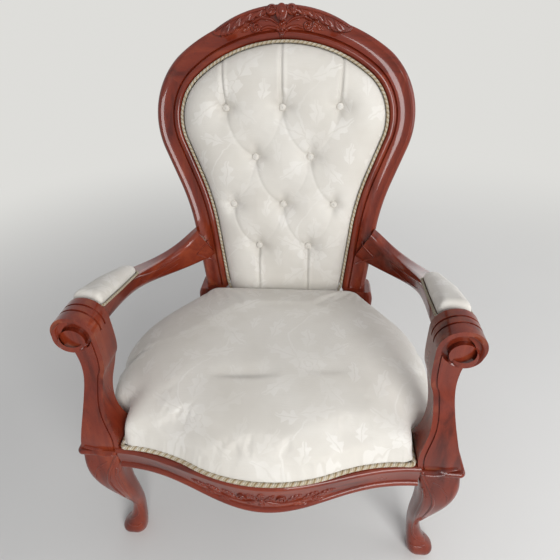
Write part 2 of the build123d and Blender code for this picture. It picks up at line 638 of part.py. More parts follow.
def arm_post():
    """Right arm post, sawn to its front and side views, with the volute sunk in its scroll."""
    inner = post_inner_line()
    neck = inner[4][0] + POST_NECK_WIDTH
    outer = [
        (LEG_INNER_X - POST_FLARE / 2 + POST_BASE_WIDTH, COLLAR_TOP),
        (LEG_INNER_X + POST_BASE_WIDTH - 16, COLLAR_TOP + 50),
        (neck + 5, COLLAR_TOP + 100),
        (neck, POST_NECK_Z),
        (SCROLL_X + 0.25 * SCROLL_RADIUS, SCROLL_Z - 0.8 * SCROLL_RADIUS),
    ]
    crown = (SCROLL_X, SCROLL_Z)
    outline = [
        Spline(*inner, tangents=((-0.3, 1), (0, 1))),
        Line(inner[-1], crown),
        Line(crown, outer[-1]),
        Spline(*reversed(outer)),
        Line(outer[0], inner[0]),
    ]
    side = post_side()
    post = across_front(outline) & side
    drum = Cylinder(SCROLL_RADIUS, SCROLL_LENGTH)
    middle = Pos(SCROLL_X, SCROLL_FRONT_Y + SCROLL_LENGTH / 2, SCROLL_Z) * Rot(90, 0, 0)
    post += middle * drum
    for share in (-0.18, 0.1):
        ring = Cylinder(SCROLL_RADIUS + 1, 2 * SCROLL_GROOVE)
        ring -= Cylinder(SCROLL_RADIUS - SCROLL_GROOVE, 3 * SCROLL_GROOVE)
        over = Box(4 * SCROLL_RADIUS, 2 * SCROLL_RADIUS, 4 * SCROLL_GROOVE)
        ring &= Pos(0, 0.9 * SCROLL_RADIUS, 0) * over
        post -= middle * Pos(0, 0, share * SCROLL_LENGTH) * ring
    face = Plane(origin=(SCROLL_X, SCROLL_FRONT_Y, SCROLL_Z), x_dir=(1, 0, 0), z_dir=(0, -1, 0))
    well_radius = SCROLL_RADIUS - SCROLL_RIM
    drop = SCROLL_EYE_RADIUS - well_radius
    well = Circle(well_radius) - Pos(0.35 * -drop, 0.94 * drop) * Circle(SCROLL_EYE_RADIUS)
    post -= extrude(face * well, -SCROLL_SINK)
    left = post_inner_line(POST_GROOVE_INSET)
    right = post_inner_line(POST_GROOVE_INSET + POST_GROOVE_WIDTH)
    strip = [
        Spline(*left, tangents=((-0.3, 1), (0, 1))),
        Line(left[-1], right[-1]),
        Spline(*right, tangents=((-0.3, 1), (0, 1))),
        Line(right[0], left[0]),
    ]
    post -= (across_front(strip) & side) - post_side(POST_GROOVE_DEPTH)
    return largest(post)


def arm_station(share):
    """Middle, width and height of the right arm, from its root at 0 to the scroll at 1."""
    root_x = BackOutline().foot_x(ARM_ROOT_V) + FRAME_WIDTH - ARM_ROOT_SINK
    root = back_point(root_x, ARM_ROOT_V, ARM_ROOT_W)
    end = Vector(SCROLL_X, SCROLL_BACK_Y, SCROLL_Z)
    swing = math.sin(math.pi * share**0.6)
    middle = root + (end - root) * share + Vector(ARM_BOW * swing, 0, -ARM_SAG * swing * (1 - share))
    widen = 3 * share**2 - 2 * share**3
    width = ARM_NECK_WIDTH + widen * (ARM_FRONT_WIDTH - ARM_NECK_WIDTH)
    height = ARM_HEIGHT + ARM_ROOT_FLARE * (1 - share) ** 6
    return middle, width, height


def arm_pad_plane():
    """Flat seat of the right arm pad: its origin at the scroll, y running back along the arm."""
    front, _, height = arm_station(1.0)
    rear_share = 0.5
    rear, _, rear_height = arm_station(rear_share)
    start = Vector(0, SCROLL_BACK_Y, front.Z + height / 2 - 2.0)
    run = Vector(0, rear.Y, rear.Z + rear_height / 2 - 1.0) - start
    return Plane(origin=start, x_dir=(1, 0, 0), z_dir=Vector(1, 0, 0).cross(run))


def arm_pad_points(inset):
    """Corners of the arm pad on its seat, moved inward by an inset, with their radii."""
    places = []
    for share in (1.0, 0.75, 0.5):
        middle, _, _ = arm_station(share)
        places.append(middle.X)
    half_front = ARM_FRONT_WIDTH / 2 - 4.0 - inset
    half_rear = ARM_PAD_REAR_WIDTH / 2 - inset
    half_mid = (half_front + half_rear) / 2 + 4.0
    front = inset + ARM_PIPING + 1.0
    rear = ARM_PAD_LENGTH - inset
    mid = ARM_PAD_LENGTH / 2
    points = [
        (places[0] - half_front, front),
        (places[0] + half_front, front),
        (places[1] + half_mid, mid),
        (places[2] + half_rear, rear),
        (places[2] - half_rear, rear),
        (places[1] - half_mid, mid),
    ]
    corner = max(7.0 - 0.4 * inset, 2.0)
    end = 0.6 * half_rear
    return points, [corner, corner, 120.0, end, end, 120.0]


def arm_pad_face(inset, lift):
    """Section of the arm pad at a height above its seat, falling towards the rear."""
    points, radii = arm_pad_points(inset)
    fall = Rot(-ARM_PAD_FALL * lift / ARM_PAD_HEIGHT, 0, 0)
    section = make_face(FilletPolyline(*points, radius=radii, close=True))
    return arm_pad_plane() * Pos(0, 0, lift) * fall * section


def arm():
    """Right arm: lofted from its flared root on the stile, bowing out to the scroll."""
    shares = (0.0, 0.06, 0.14, 0.25, 0.38, 0.52, 0.68, 0.84, 1.0)
    sections = []
    for share in shares:
        middle, width, height = arm_station(share)
        ahead, _, _ = arm_station(min(share + 0.02, 1.0))
        behind, _, _ = arm_station(max(share - 0.02, 0.0))
        run = ahead - behind
        if share == shares[-1]:
            run = Vector(0, -1, 0)
        across = run.cross(Vector(0, 0, 1))
        plane = Plane(origin=middle, x_dir=across, z_dir=run)
        sections.append(rounded_section(plane, width, height, ARM_ROUND))
    return largest(loft(sections))


def arm_pad_room():
    """Space over the seat of the arm pad and its piping, cut from the arm."""
    return extrude(arm_pad_face(-ARM_PIPING - SOFT_FIT, 0), 3 * ARM_PAD_HEIGHT)


def arm_pad():
    """Right arm pad: a low crowned pad with drawn-in sides."""
    top = ARM_PAD_HEIGHT
    levels = ((0.0, 2.0), (0.3 * top, 0.0), (0.62 * top, 1.0), (0.86 * top, 5.5), (top, 12.0))
    return largest(loft([arm_pad_face(inset, lift) for lift, inset in levels]))


def arm_pad_piping():
    """Cord round the foot of the right arm pad."""
    points, radii = arm_pad_points(-ARM_PIPING / 2 - SOFT_FIT)
    path = FilletPolyline(*points, radius=radii, close=True)
    start = path.edges()[0]
    plane = Plane(origin=start @ 0.5, x_dir=(0, 0, 1), z_dir=start % 0.5)
    cord = sweep(plane * Circle(ARM_PIPING / 2), path)
    return arm_pad_plane() * Pos(0, 0, ARM_PIPING / 2 + SOFT_FIT) * cord


def serpentine_arcs(half, bulge, end_y):
    """Right half of a serpentine line as a full arc and a hollow one, from the middle out."""
    turn = 2 * math.atan2(bulge, half)
    radius = half / (2 * math.sin(turn))
    step = radius * math.sin(turn / 2)
    drop = radius * (1 - math.cos(turn / 2))
    middle = (half / 2, end_y - bulge / 2)
    return [
        ThreePointArc((0, end_y - bulge), (step, end_y - bulge + drop), middle),
        ThreePointArc(middle, (half - step, end_y - drop), (half, end_y)),
    ]


def seat_face(swell):
    """Plan of the seat pad on the floor, swelling past its edge line or drawn in from it."""
    front_half = SEAT_FRONT_HALF + swell
    front_y = CORNER_Y + SEAT_EDGE - swell
    rear_y = SEAT_BACK_Y + swell
    start, bend, bend_end, rear = side_line(SEAT_EDGE - swell, rear_y)
    corner = ((front_half + 3 * start[0]) / 4, (2 * front_y + start[1]) / 3)
    half = [
        *serpentine_arcs(front_half, FRONT_BULGE, front_y),
        ThreePointArc((front_half, front_y), corner, start),
        ThreePointArc(start, bend, bend_end),
        Line(bend_end, rear),
    ]
    rear_line = Line((-rear[0], rear_y), (rear[0], rear_y))
    return make_face([*half, rear_line, *[mirrored(edge) for edge in half]])


def seat_pad():
    """Domed seat pad, drawn in at its foot and notched round the posts and their cord."""
    foot = WEB_TOP + SOFT_FIT
    rise = SEAT_TOP - foot - SEAT_WIDEST
    crown_y = FRONT_Y + SEAT_CROWN_BACK
    sections = [Pos(0, 0, foot) * seat_face(SEAT_SWELL - SEAT_DRAW_IN)]
    widest = Pos(0, -crown_y, 0) * seat_face(SEAT_SWELL)
    for step in range(SEAT_CROWN_STEPS + 1):
        turn = math.pi / 2 * step / SEAT_CROWN_STEPS
        size = 1 - (1 - SEAT_CROWN_SIZE) * (1 - math.cos(turn))
        height = foot + SEAT_WIDEST + rise * math.sin(turn)
        sections.append(Pos(0, crown_y, height) * scale(widest, by=size))
    pad = loft(sections, ruled=True)
    cord = SEAT_PIPING + 2 * SOFT_FIT
    size = 2 * LEG_BLOCK
    for reach, height in ((POST_GAP, size), (cord, cord + SOFT_FIT)):
        for side in (-1, 1):
            x = side * (POST_INNER_X - reach + size / 2)
            y = LEG_BACK_Y + reach - size / 2
            pad -= Pos(x, y, RAIL_TOP + height / 2) * Box(size, size, height)
    return largest(pad)


def seat_piping():
    """Cord round the foot of the seat: over the front rail, round the posts and down the sides."""
    radius = SEAT_PIPING / 2
    inset = radius + 1.0
    bend = SEAT_PIPING_BEND
    skew = bend * (1 - math.sqrt(0.5))
    front_y = CORNER_Y + inset
    notch_x = POST_INNER_X - radius - SOFT_FIT
    notch_y = LEG_BACK_Y + radius + SOFT_FIT
    side, side_bend, bend_end, rear = side_line(inset, REAR_FACE_Y + SIDE_RAIL_HOUSING)
    half = [
        *serpentine_arcs(notch_x - bend, FRONT_BULGE, front_y),
        ThreePointArc(
            (notch_x - bend, front_y), (notch_x - skew, front_y + skew), (notch_x, front_y + bend)
        ),
        Line((notch_x, front_y + bend), (notch_x, notch_y - bend)),
        ThreePointArc(
            (notch_x, notch_y - bend), (notch_x + skew, notch_y - skew), (notch_x + bend, notch_y)
        ),
        Line((notch_x + bend, notch_y), (side[0] - bend, notch_y)),
        ThreePointArc(
            (side[0] - bend, notch_y), (side[0] - skew, notch_y + skew), (side[0], notch_y + bend)
        ),
        Line((side[0], notch_y + bend), side),
        ThreePointArc(side, side_bend, bend_end),
        Line(bend_end, rear),
    ]
    path = Wire([edge.edge() for edge in [*half, *[mirrored(edge) for edge in half]]])
    return Pos(0, 0, RAIL_TOP + radius + SOFT_FIT) * cord_on_path(path, radius)


def side_x(inset, y):
    """Half width of the seat frame at a place along the chair, inside its outer line."""
    start, _, bend_end, _ = side_line(inset, y)
    if y <= start[1]:
        return start[0]
    if y >= bend_end[1]:
        return bend_end[0] - (y - bend_end[1]) * math.tan(math.radians(SIDE_TURN))
    radius = SIDE_ARC_RADIUS - inset
    return SIDE_ARC_X + math.sqrt(radius**2 - (y - SIDE_ARC_Y) ** 2)


def seat_webbing():
    """Straps tacked to the tops of the rails: a front-to-back layer under a cross layer."""
    hold = SIDE_RAIL_THICKNESS / 2
    front = RAIL_BACK_Y - hold
    rear = BACK_RAIL_Y + hold
    strap = Box(WEB_WIDTH, rear - front, WEB_THICKNESS)
    span = 2 * REAR_INNER_X - WEB_WIDTH - 30.0
    straps = []
    for index in range(WEB_LONG_COUNT):
        x = span * (index / (WEB_LONG_COUNT - 1) - 0.5)
        straps.append(Pos(x, (front + rear) / 2, RAIL_TOP + WEB_THICKNESS / 2) * strap)
    first = LEG_BACK_Y + WEB_WIDTH
    last = BACK_RAIL_Y - 1.7 * WEB_WIDTH
    for index in range(WEB_CROSS_COUNT):
        y = first + (last - first) * index / (WEB_CROSS_COUNT - 1)
        half = side_x(hold, y + WEB_WIDTH / 2)
        cross = Box(2 * half, WEB_WIDTH, WEB_THICKNESS)
        straps.append(Pos(0, y, RAIL_TOP + 1.5 * WEB_THICKNESS) * cross)
    return Compound(straps)


def dust_cover():
    """Thin cloth under the seat, tacked to the undersides of the side and back rails."""
    start, bend, bend_end, rear = side_line(SEAT_PIPING, BACK_RAIL_Y + 0.7 * BACK_RAIL_THICKNESS)
    front = RAIL_BACK_Y + SOFT_FIT
    half = [
        Line((0, front), (LEG_INNER_X - SOFT_FIT, front)),
        Line((LEG_INNER_X - SOFT_FIT, front), (LEG_INNER_X - SOFT_FIT, LEG_BACK_Y + SOFT_FIT)),
        Line((LEG_INNER_X - SOFT_FIT, LEG_BACK_Y + SOFT_FIT), (start[0], LEG_BACK_Y + SOFT_FIT)),
        Line((start[0], LEG_BACK_Y + SOFT_FIT), start),
        ThreePointArc(start, bend, bend_end),
        Line(bend_end, rear),
        Line(rear, (0, rear[1])),
    ]
    face = make_face([*half, *[mirrored(edge) for edge in half]])
    return Pos(0, 0, RAIL_BOTTOM) * extrude(face, -DUST_COVER_THICKNESS)


def button_places():
    """Places of the buttons on the back, row by row."""
    places = []
    for v, reach, count in BUTTON_ROWS:
        for index in range(count):
            places.append((reach * (2 * index / (count - 1) - 1), v))
    return places


def dimple():
    """Cutter for one button's dimple: a flat seat that flares out to the pad's face."""
    crown = BACK_CROWN + 1.0
    rise = crown - BUTTON_SEAT_W
    seat = BUTTON_RADIUS + 1.0
    reach = DIMPLE_RADIUS - seat
    over = crown + DIMPLE_RADIUS
    outline = [
        Line((0, BUTTON_SEAT_W), (seat, BUTTON_SEAT_W)),
        ThreePointArc(
            (seat, BUTTON_SEAT_W),
            (seat + 0.36 * reach, BUTTON_SEAT_W + 0.7 * rise),
            (DIMPLE_RADIUS, crown),
        ),
        Polyline((DIMPLE_RADIUS, crown), (DIMPLE_RADIUS, over), (0, over), (0, BUTTON_SEAT_W)),
    ]
    return revolve(Plane.XZ * make_face(outline), Axis.Z)


def pleat(x, low, high):
    """Cutter for one pleat: an open V from its low end to its high end, both given as (v, w)."""
    start = Vector(x, *low)
    run = Vector(x, *high) - start
    depth = 2 * BACK_CROWN
    half = depth * math.tan(math.radians(PLEAT_HALF_ANGLE))
    wedge = make_face(Polyline((0, 0), (half, -depth), (-half, -depth), close=True))
    return extrude(Plane(origin=start, x_dir=(1, 0, 0), z_dir=run) * wedge, run.length)


def pleats():
    """Pleats of the cover: up from the first row of buttons and down from the last."""
    cutters = []
    top_v, top_reach, _ = BUTTON_ROWS[0]
    last_v = BUTTON_ROWS[-1][0]
    depth = BUTTON_SEAT_W + 6.0
    for x, v in button_places():
        if v == top_v:
            edge_v = BACK_TOP_V - BACK_PIPING - PLEAT_TOP_FALL * (x / top_reach) ** 2
            cutters.append(pleat(x, (v, depth), (edge_v, -1.0)))
        if v == last_v:
            cutters.append(pleat(x, (0.0, depth), (v, depth)))
    return cutters


def pad_foot(w):
    """Height up the back of the level foot of the back pad, at a distance from its face."""
    drop = STILE_FOOT_Z + BACK_PAD_FOOT - BACK_FOOT_Z - w * math.sin(TILT)
    return drop / math.cos(TILT)


def back_pad():
    """Buttoned back pad: a base in the frame and a swelling face with dimples and pleats."""
    edge = BACK_PIPING + SOFT_FIT
    base = extrude(BackOutline(SOFT_FIT).face(pad_foot(LEDGE_W)), BACK_PIPING_W - LEDGE_W)
    base = Pos(0, 0, LEDGE_W) * base
    crown = BACK_CROWN - BACK_PIPING_W
    levels = ((0.0, 0.0), (0.3, 5.0), (0.58, 17.0), (0.8, 37.0), (0.94, 65.0), (1.0, 95.0))
    sections = []
    for share, inset in levels:
        w = BACK_PIPING_W + share * crown
        sections.append(Pos(0, 0, w) * BackOutline(edge + inset).face(pad_foot(w)))
    pad = base + loft(sections)
    for x, v in button_places():
        pad -= Pos(x, v, 0) * dimple()
    for cutter in pleats():
        pad -= cutter
    return largest(on_back(pad))


def back_buttons():
    """Covered buttons, each a low dome on a flat seat in its dimple."""
    button = rising(BUTTON_RADIUS, BUTTON_HEIGHT)
    button = fillet(button.edges().group_by(Axis.Z)[-1], 0.8 * BUTTON_HEIGHT).solid()
    return Compound([on_back(Pos(x, v, BUTTON_SEAT_W) * button) for x, v in button_places()])


def cord_on_path(path, radius):
    """A round cord along a flat path drawn in XY."""
    plane = Plane(origin=path @ 0, x_dir=(0, 0, 1), z_dir=path % 0)
    return sweep(plane * Circle(radius), path)


def back_piping():
    """Cord round the back pad, from one foot over the head to the other."""
    half = BackOutline(BACK_PIPING / 2 + SOFT_FIT).half(pad_foot(LEDGE_W))
    path = Wire([edge.edge() for edge in [*half, *[mirrored(edge) for edge in half]]])
    lift = BACK_PIPING_W + BACK_PIPING / 2 + SOFT_FIT
    return on_back(Pos(0, 0, lift) * cord_on_path(path, BACK_PIPING / 2))


def back_ledge_face(inset, foot_v):
    """Face of the rebate behind the back frame, moved in from its wall by an inset."""
    return BackOutline(inset - REBATE_WIDTH).face(foot_v)


def back_webbing():
    """Straps across the back, tacked to the ledge, with upright straps behind them."""
    low = bottom_rail_foot() + BOTTOM_RAIL_HEIGHT + SOFT_FIT
    ledge = extrude(back_ledge_face(REBATE_WIDTH / 4, low), -2 * WEB_THICKNESS)
    first = low + 0.7 * WEB_WIDTH
    last = BACK_TOP_V - 1.2 * WEB_WIDTH
    length = 2 * OVERALL_DEPTH
    straps = []
    for index in range(BACK_WEB_COUNT):
        v = first + (last - first) * index / (BACK_WEB_COUNT - 1)
        strap = Pos(0, v, -WEB_THICKNESS / 2) * Box(length, WEB_WIDTH, WEB_THICKNESS)
        straps.append((strap & ledge).solid())
    for side in (-1, 1):
        strap = Pos(side * WEB_WIDTH, 0, -1.5 * WEB_THICKNESS) * Box(WEB_WIDTH, length, WEB_THICKNESS)
        straps.append((strap & ledge).solid())
    return on_back(Pos(0, 0, LEDGE_W) * Compound(straps))


def outside_back():
    """Covered panel that closes the back, set in the rebate."""
    face = back_ledge_face(SOFT_FIT, bottom_rail_foot() + SOFT_FIT)
    return on_back(Pos(0, 0, -FRAME_THICKNESS) * extrude(face, OUTSIDE_BACK_THICKNESS))


def front_block():
    """Right front corner block, notched round the leg and screwed to both rails."""
    inner_x = SIDE_X - SIDE_RAIL_THICKNESS
    points = [
        (LEG_INNER_X, RAIL_BACK_Y),
        (LEG_INNER_X - BLOCK_REACH, RAIL_BACK_Y),
        (inner_x, LEG_BACK_Y + BLOCK_REACH),
        (inner_x, LEG_BACK_Y),
        (LEG_INNER_X, LEG_BACK_Y),
    ]
    return Pos(0, 0, BLOCK_Z) * extrude(make_face(Polyline(*points, close=True)), BLOCK_THICKNESS)


def rear_block():
    """Right rear corner block, between the back rail and the turned-in side rail."""
    seat = side_line(SIDE_RAIL_THICKNESS, REAR_FACE_Y)[3]
    turn = math.radians(SIDE_TURN)
    points = [
        (REAR_INNER_X, BACK_RAIL_Y),
        (REAR_INNER_X - BLOCK_REACH, BACK_RAIL_Y),
        (seat[0] + BLOCK_REACH * math.sin(turn), seat[1] - BLOCK_REACH * math.cos(turn)),
        seat,
        (REAR_INNER_X, REAR_FACE_Y),
    ]
    return Pos(0, 0, BLOCK_Z) * extrude(make_face(Polyline(*points, close=True)), BLOCK_THICKNESS)


def screw_places():
    """Screws of the right blocks: the block, the rail, the point on the rail and the direction."""
    z = BLOCK_Z + BLOCK_THICKNESS / 2
    reach = 0.45 * BLOCK_REACH
    turn = math.radians(SIDE_TURN)
    seat = side_line(SIDE_RAIL_THICKNESS, REAR_FACE_Y)[3]
    slanted = (seat[0] + reach * math.sin(turn), seat[1] - reach * math.cos(turn), z)
    side_inner = SIDE_X - SIDE_RAIL_THICKNESS
    return [
        ("front_corner_block", "front_rail", (LEG_INNER_X - reach, RAIL_BACK_Y, z), (0, -1, 0)),
        ("front_corner_block", "side_rail", (side_inner, LEG_BACK_Y + reach, z), (1, 0, 0)),
        ("rear_corner_block", "back_rail", (REAR_INNER_X - reach, BACK_RAIL_Y, z), (0, 1, 0)),
        ("rear_corner_block", "side_rail", slanted, (math.cos(turn), math.sin(turn), 0)),
    ]


def screw(point, direction, gap=0.0):
    """Countersunk wood screw through a block into a rail, or with a gap the hole it needs."""
    start = -SCREW_GRIP
    head_height = SCREW_HEAD_RADIUS - SCREW_RADIUS
    head = Pos(0, 0, start + head_height / 2) * Cone(SCREW_HEAD_RADIUS + gap, SCREW_RADIUS + gap, head_height)
    shank = Pos(0, 0, start) * rising(SCREW_RADIUS + gap, SCREW_LENGTH + gap)
    body = head + shank
    if gap:
        body += Pos(0, 0, start - BLOCK_REACH) * rising(SCREW_HEAD_RADIUS + gap, BLOCK_REACH)
    return along(point, direction) * body


def dowel_places():
    """Dowels of the right side: their group, the pieces they join, middles and directions."""
    places = []
    joint = crest_joint_plane()
    root, _, _ = arm_station(0.0)
    ahead, _, _ = arm_station(0.05)
    reach = (ahead - root).normalized()
    turn = math.radians(SIDE_TURN)
    rail_middle = RAIL_TOP - RAIL_HEIGHT / 2
    front_middle = RAIL_TOP - FRONT_RAIL_HEIGHT / 2
    seat = side_line(SIDE_RAIL_THICKNESS / 2, REAR_FACE_Y)[3]
    for share in (-1, 1):
        across = (REBATE_WIDTH + FRAME_WIDTH) / 2 + share * 12.0
        point = joint.origin + across * joint.x_dir
        middle = back_point(point.X, point.Y, -FRAME_THICKNESS / 2)
        run = back_point(*joint.z_dir) - back_point(0, 0)
        places.append(("back_dowels", ("crest_rail", "back_stile"), middle, run))
        middle = Vector(REAR_LEG_X - 5 + share * 11, REAR_LEG_Y, STILE_FOOT_Z)
        places.append(("back_dowels", ("back_stile", "rear_leg"), middle, Vector(0, 0, 1)))
        middle = root + (ARM_ROOT_SINK + 6) * reach + Vector(0, 0, share * 12)
        places.append(("arm_dowels", ("arm", "back_stile"), middle, reach))
        middle = Vector(SCROLL_X + share * 13, SCROLL_BACK_Y, SCROLL_Z - 4)
        places.append(("arm_dowels", ("arm", "arm_post"), middle, Vector(0, 1, 0)))
        middle = Vector(LEG_X + share * 14, LEG_Y, COLLAR_TOP)
        places.append(("arm_dowels", ("arm_post", "front_leg"), middle, Vector(0, 0, 1)))
        middle = Vector(LEG_INNER_X, CORNER_Y + FRONT_RAIL_DEPTH / 2, front_middle + share * 12)
        places.append(("seat_frame_dowels", ("front_rail", "front_leg"), middle, Vector(1, 0, 0)))
        middle = Vector(SIDE_X - SIDE_RAIL_THICKNESS / 2, LEG_BACK_Y, rail_middle + share * 13)
        places.append(("seat_frame_dowels", ("side_rail", "front_leg"), middle, Vector(0, 1, 0)))
        middle = Vector(*seat, rail_middle + share * 18.5)
        run = Vector(-math.sin(turn), math.cos(turn), 0)
        places.append(("seat_frame_dowels", ("side_rail", "rear_leg"), middle, run))
        middle = Vector(REAR_INNER_X, BACK_RAIL_Y + BACK_RAIL_THICKNESS / 2, rail_middle + share * 6.5)
        places.append(("seat_frame_dowels", ("back_rail", "rear_leg"), middle, Vector(1, 0, 0)))
    return places


def dowel(middle, direction, gap=0.0):
    """One dowel across a joint, or with a gap the hole that takes it."""
    length = DOWEL_LENGTH + (2 * DOWEL_END_ROOM if gap else 0)
    return along(middle, direction) * Cylinder(DOWEL_RADIUS + gap, length)


def export(name, shape):
    """Write one piece to its own file."""
    export_step(shape, f"parts/{name}.step")


def main():
    """Build the pieces, fit them to each other and write them."""
    os.makedirs("parts", exist_ok=True)
    stile = back_stile()
    leg = front_leg()
    rear = rear_leg()
    post = arm_post()
    single = {
        "crest_rail": crest_rail(),
        "front_rail": largest(front_rail() - leg - post - mirrored(leg) - mirrored(post)),
        "back_rail": largest(back_rail() - rear - mirrored(rear)),
        "back_bottom_rail": back_bottom_rail(),
        "seat_webbing": seat_webbing(),
        "seat_pad": seat_pad(),
        "seat_piping": largest(seat_piping() - rear - mirrored(rear)),
        "dust_cover": largest(dust_cover() - leg - mirrored(leg) - rear - mirrored(rear)),
        "back_webbing": back_webbing(),
        "back_pad": back_pad(),
        "back_buttons": back_buttons(),
        "back_piping": back_piping(),
        "outside_back": outside_back(),
    }
    pairs = {
        "back_stile": stile,
        "rear_leg": rear,
        "front_leg": leg,
        "arm_post": post,
        "arm": largest(arm() - arm_pad_room() - stile),
        "arm_pad": arm_pad(),
        "arm_pad_piping": arm_pad_piping(),
        "side_rail": largest(side_rail() - rear - leg),
        "front_corner_block": front_block() - leg,
        "rear_corner_block": rear_block() - rear,
    }
    hardware = {"back_dowels": [], "arm_dowels": [], "seat_frame_dowels": [], "corner_block_screws": []}

    def bore(name, cutter):
        """Cut a hole in one piece, on both sides where the piece spans the chair."""
        if name in pairs:
            pairs[name] = pairs[name] - cutter
        else:
            single[name] = single[name] - cutter - mirrored(cutter)

    for group, names, middle, direction in dowel_places():
        peg = dowel(middle, direction)
        hardware[group] += [peg, mirrored(peg)]
        for name in names:
            bore(name, dowel(middle, direction, FIT))
    for block, rail, point, direction in screw_places():
        peg = screw(point, direction)
        hardware["corner_block_screws"] += [peg, mirrored(peg)]
        for name in (block, rail):
            bore(name, screw(point, direction, FIT))

    for name, shape in single.items():
        export(name, shape)
    for name, shape in pairs.items():
        export(f"{name}_right", shape)
        export(f"{name}_left", mirrored(shape))
    for name, pegs in hardware.items():
        export(name, Compound([peg.solid() for peg in pegs]))


if __name__ == "__main__":
    main()
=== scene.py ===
"""Looks of the show-wood armchair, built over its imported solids.

The wood of the frame keeps its solids and gets a varnished finish, with carving laid over the
crest, the arms, the legs and the front rail. The pads, cords, buttons and cloths replace their
solids with fuller meshes. Meshes are in metres and the sizes of the shapes in millimetres, in the
frame of the solids: X across the chair, Y from the front to the back and Z up.
"""
from __future__ import annotations

import json
import logging
import math
from collections import Counter
from dataclasses import dataclass, field
from enum import Enum
from typing import Callable, Iterable, Sequence

import bmesh
import bpy
import numpy as np
from mathutils import Matrix, Vector
from mathutils.bvhtree import BVHTree
from mathutils.kdtree import KDTree

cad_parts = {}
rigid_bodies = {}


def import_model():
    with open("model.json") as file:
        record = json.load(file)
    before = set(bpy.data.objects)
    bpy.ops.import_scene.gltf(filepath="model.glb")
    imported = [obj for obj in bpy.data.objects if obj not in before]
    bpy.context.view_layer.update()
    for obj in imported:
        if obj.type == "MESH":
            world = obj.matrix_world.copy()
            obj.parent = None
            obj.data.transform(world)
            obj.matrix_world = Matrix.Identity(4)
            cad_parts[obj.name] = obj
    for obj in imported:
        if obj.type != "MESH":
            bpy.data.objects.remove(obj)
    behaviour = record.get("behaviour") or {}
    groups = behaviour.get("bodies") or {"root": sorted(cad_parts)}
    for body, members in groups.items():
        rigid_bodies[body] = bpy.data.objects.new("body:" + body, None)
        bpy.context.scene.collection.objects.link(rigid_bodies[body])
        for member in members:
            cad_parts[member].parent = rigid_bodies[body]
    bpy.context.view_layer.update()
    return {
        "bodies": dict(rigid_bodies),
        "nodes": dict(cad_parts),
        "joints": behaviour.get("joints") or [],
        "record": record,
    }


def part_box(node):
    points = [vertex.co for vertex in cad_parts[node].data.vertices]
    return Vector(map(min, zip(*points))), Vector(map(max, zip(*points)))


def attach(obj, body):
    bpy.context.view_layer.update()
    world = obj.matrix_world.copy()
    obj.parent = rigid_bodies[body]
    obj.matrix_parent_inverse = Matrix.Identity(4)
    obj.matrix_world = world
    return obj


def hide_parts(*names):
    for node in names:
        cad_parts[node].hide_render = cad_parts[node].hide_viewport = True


LOG = logging.getLogger("armchair")
BODY = "root"
MM = 0.001
FORWARD = Vector((0, -1, 0))

Point2 = tuple[float, float]
Point3 = tuple[float, float, float]
Colour = tuple[float, float, float]
Face = tuple[int, ...]
Rows = np.ndarray
Piece = bpy.types.Object
Finish = bpy.types.Material
Socket = bpy.types.NodeSocket


class Grain(Enum):
    """Direction in which the grain of a piece of wood runs."""

    ACROSS = (0.35, 5.0, 5.0)
    ALONG = (5.0, 0.35, 5.0)
    UPRIGHT = (5.0, 5.0, 0.35)


class Side(Enum):
    """Side of the chair as seen from the front, with the sign of its places across."""

    RIGHT = 1
    LEFT = -1

    @property
    def label(self) -> str:
        """Ending of the names on this side."""
        return self.name.lower()


class Slot(str, Enum):
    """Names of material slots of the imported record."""

    SHOW_WOOD = "show_wood"
    COVER = "cover"
    CORD = "cord"
    LINING = "lining"


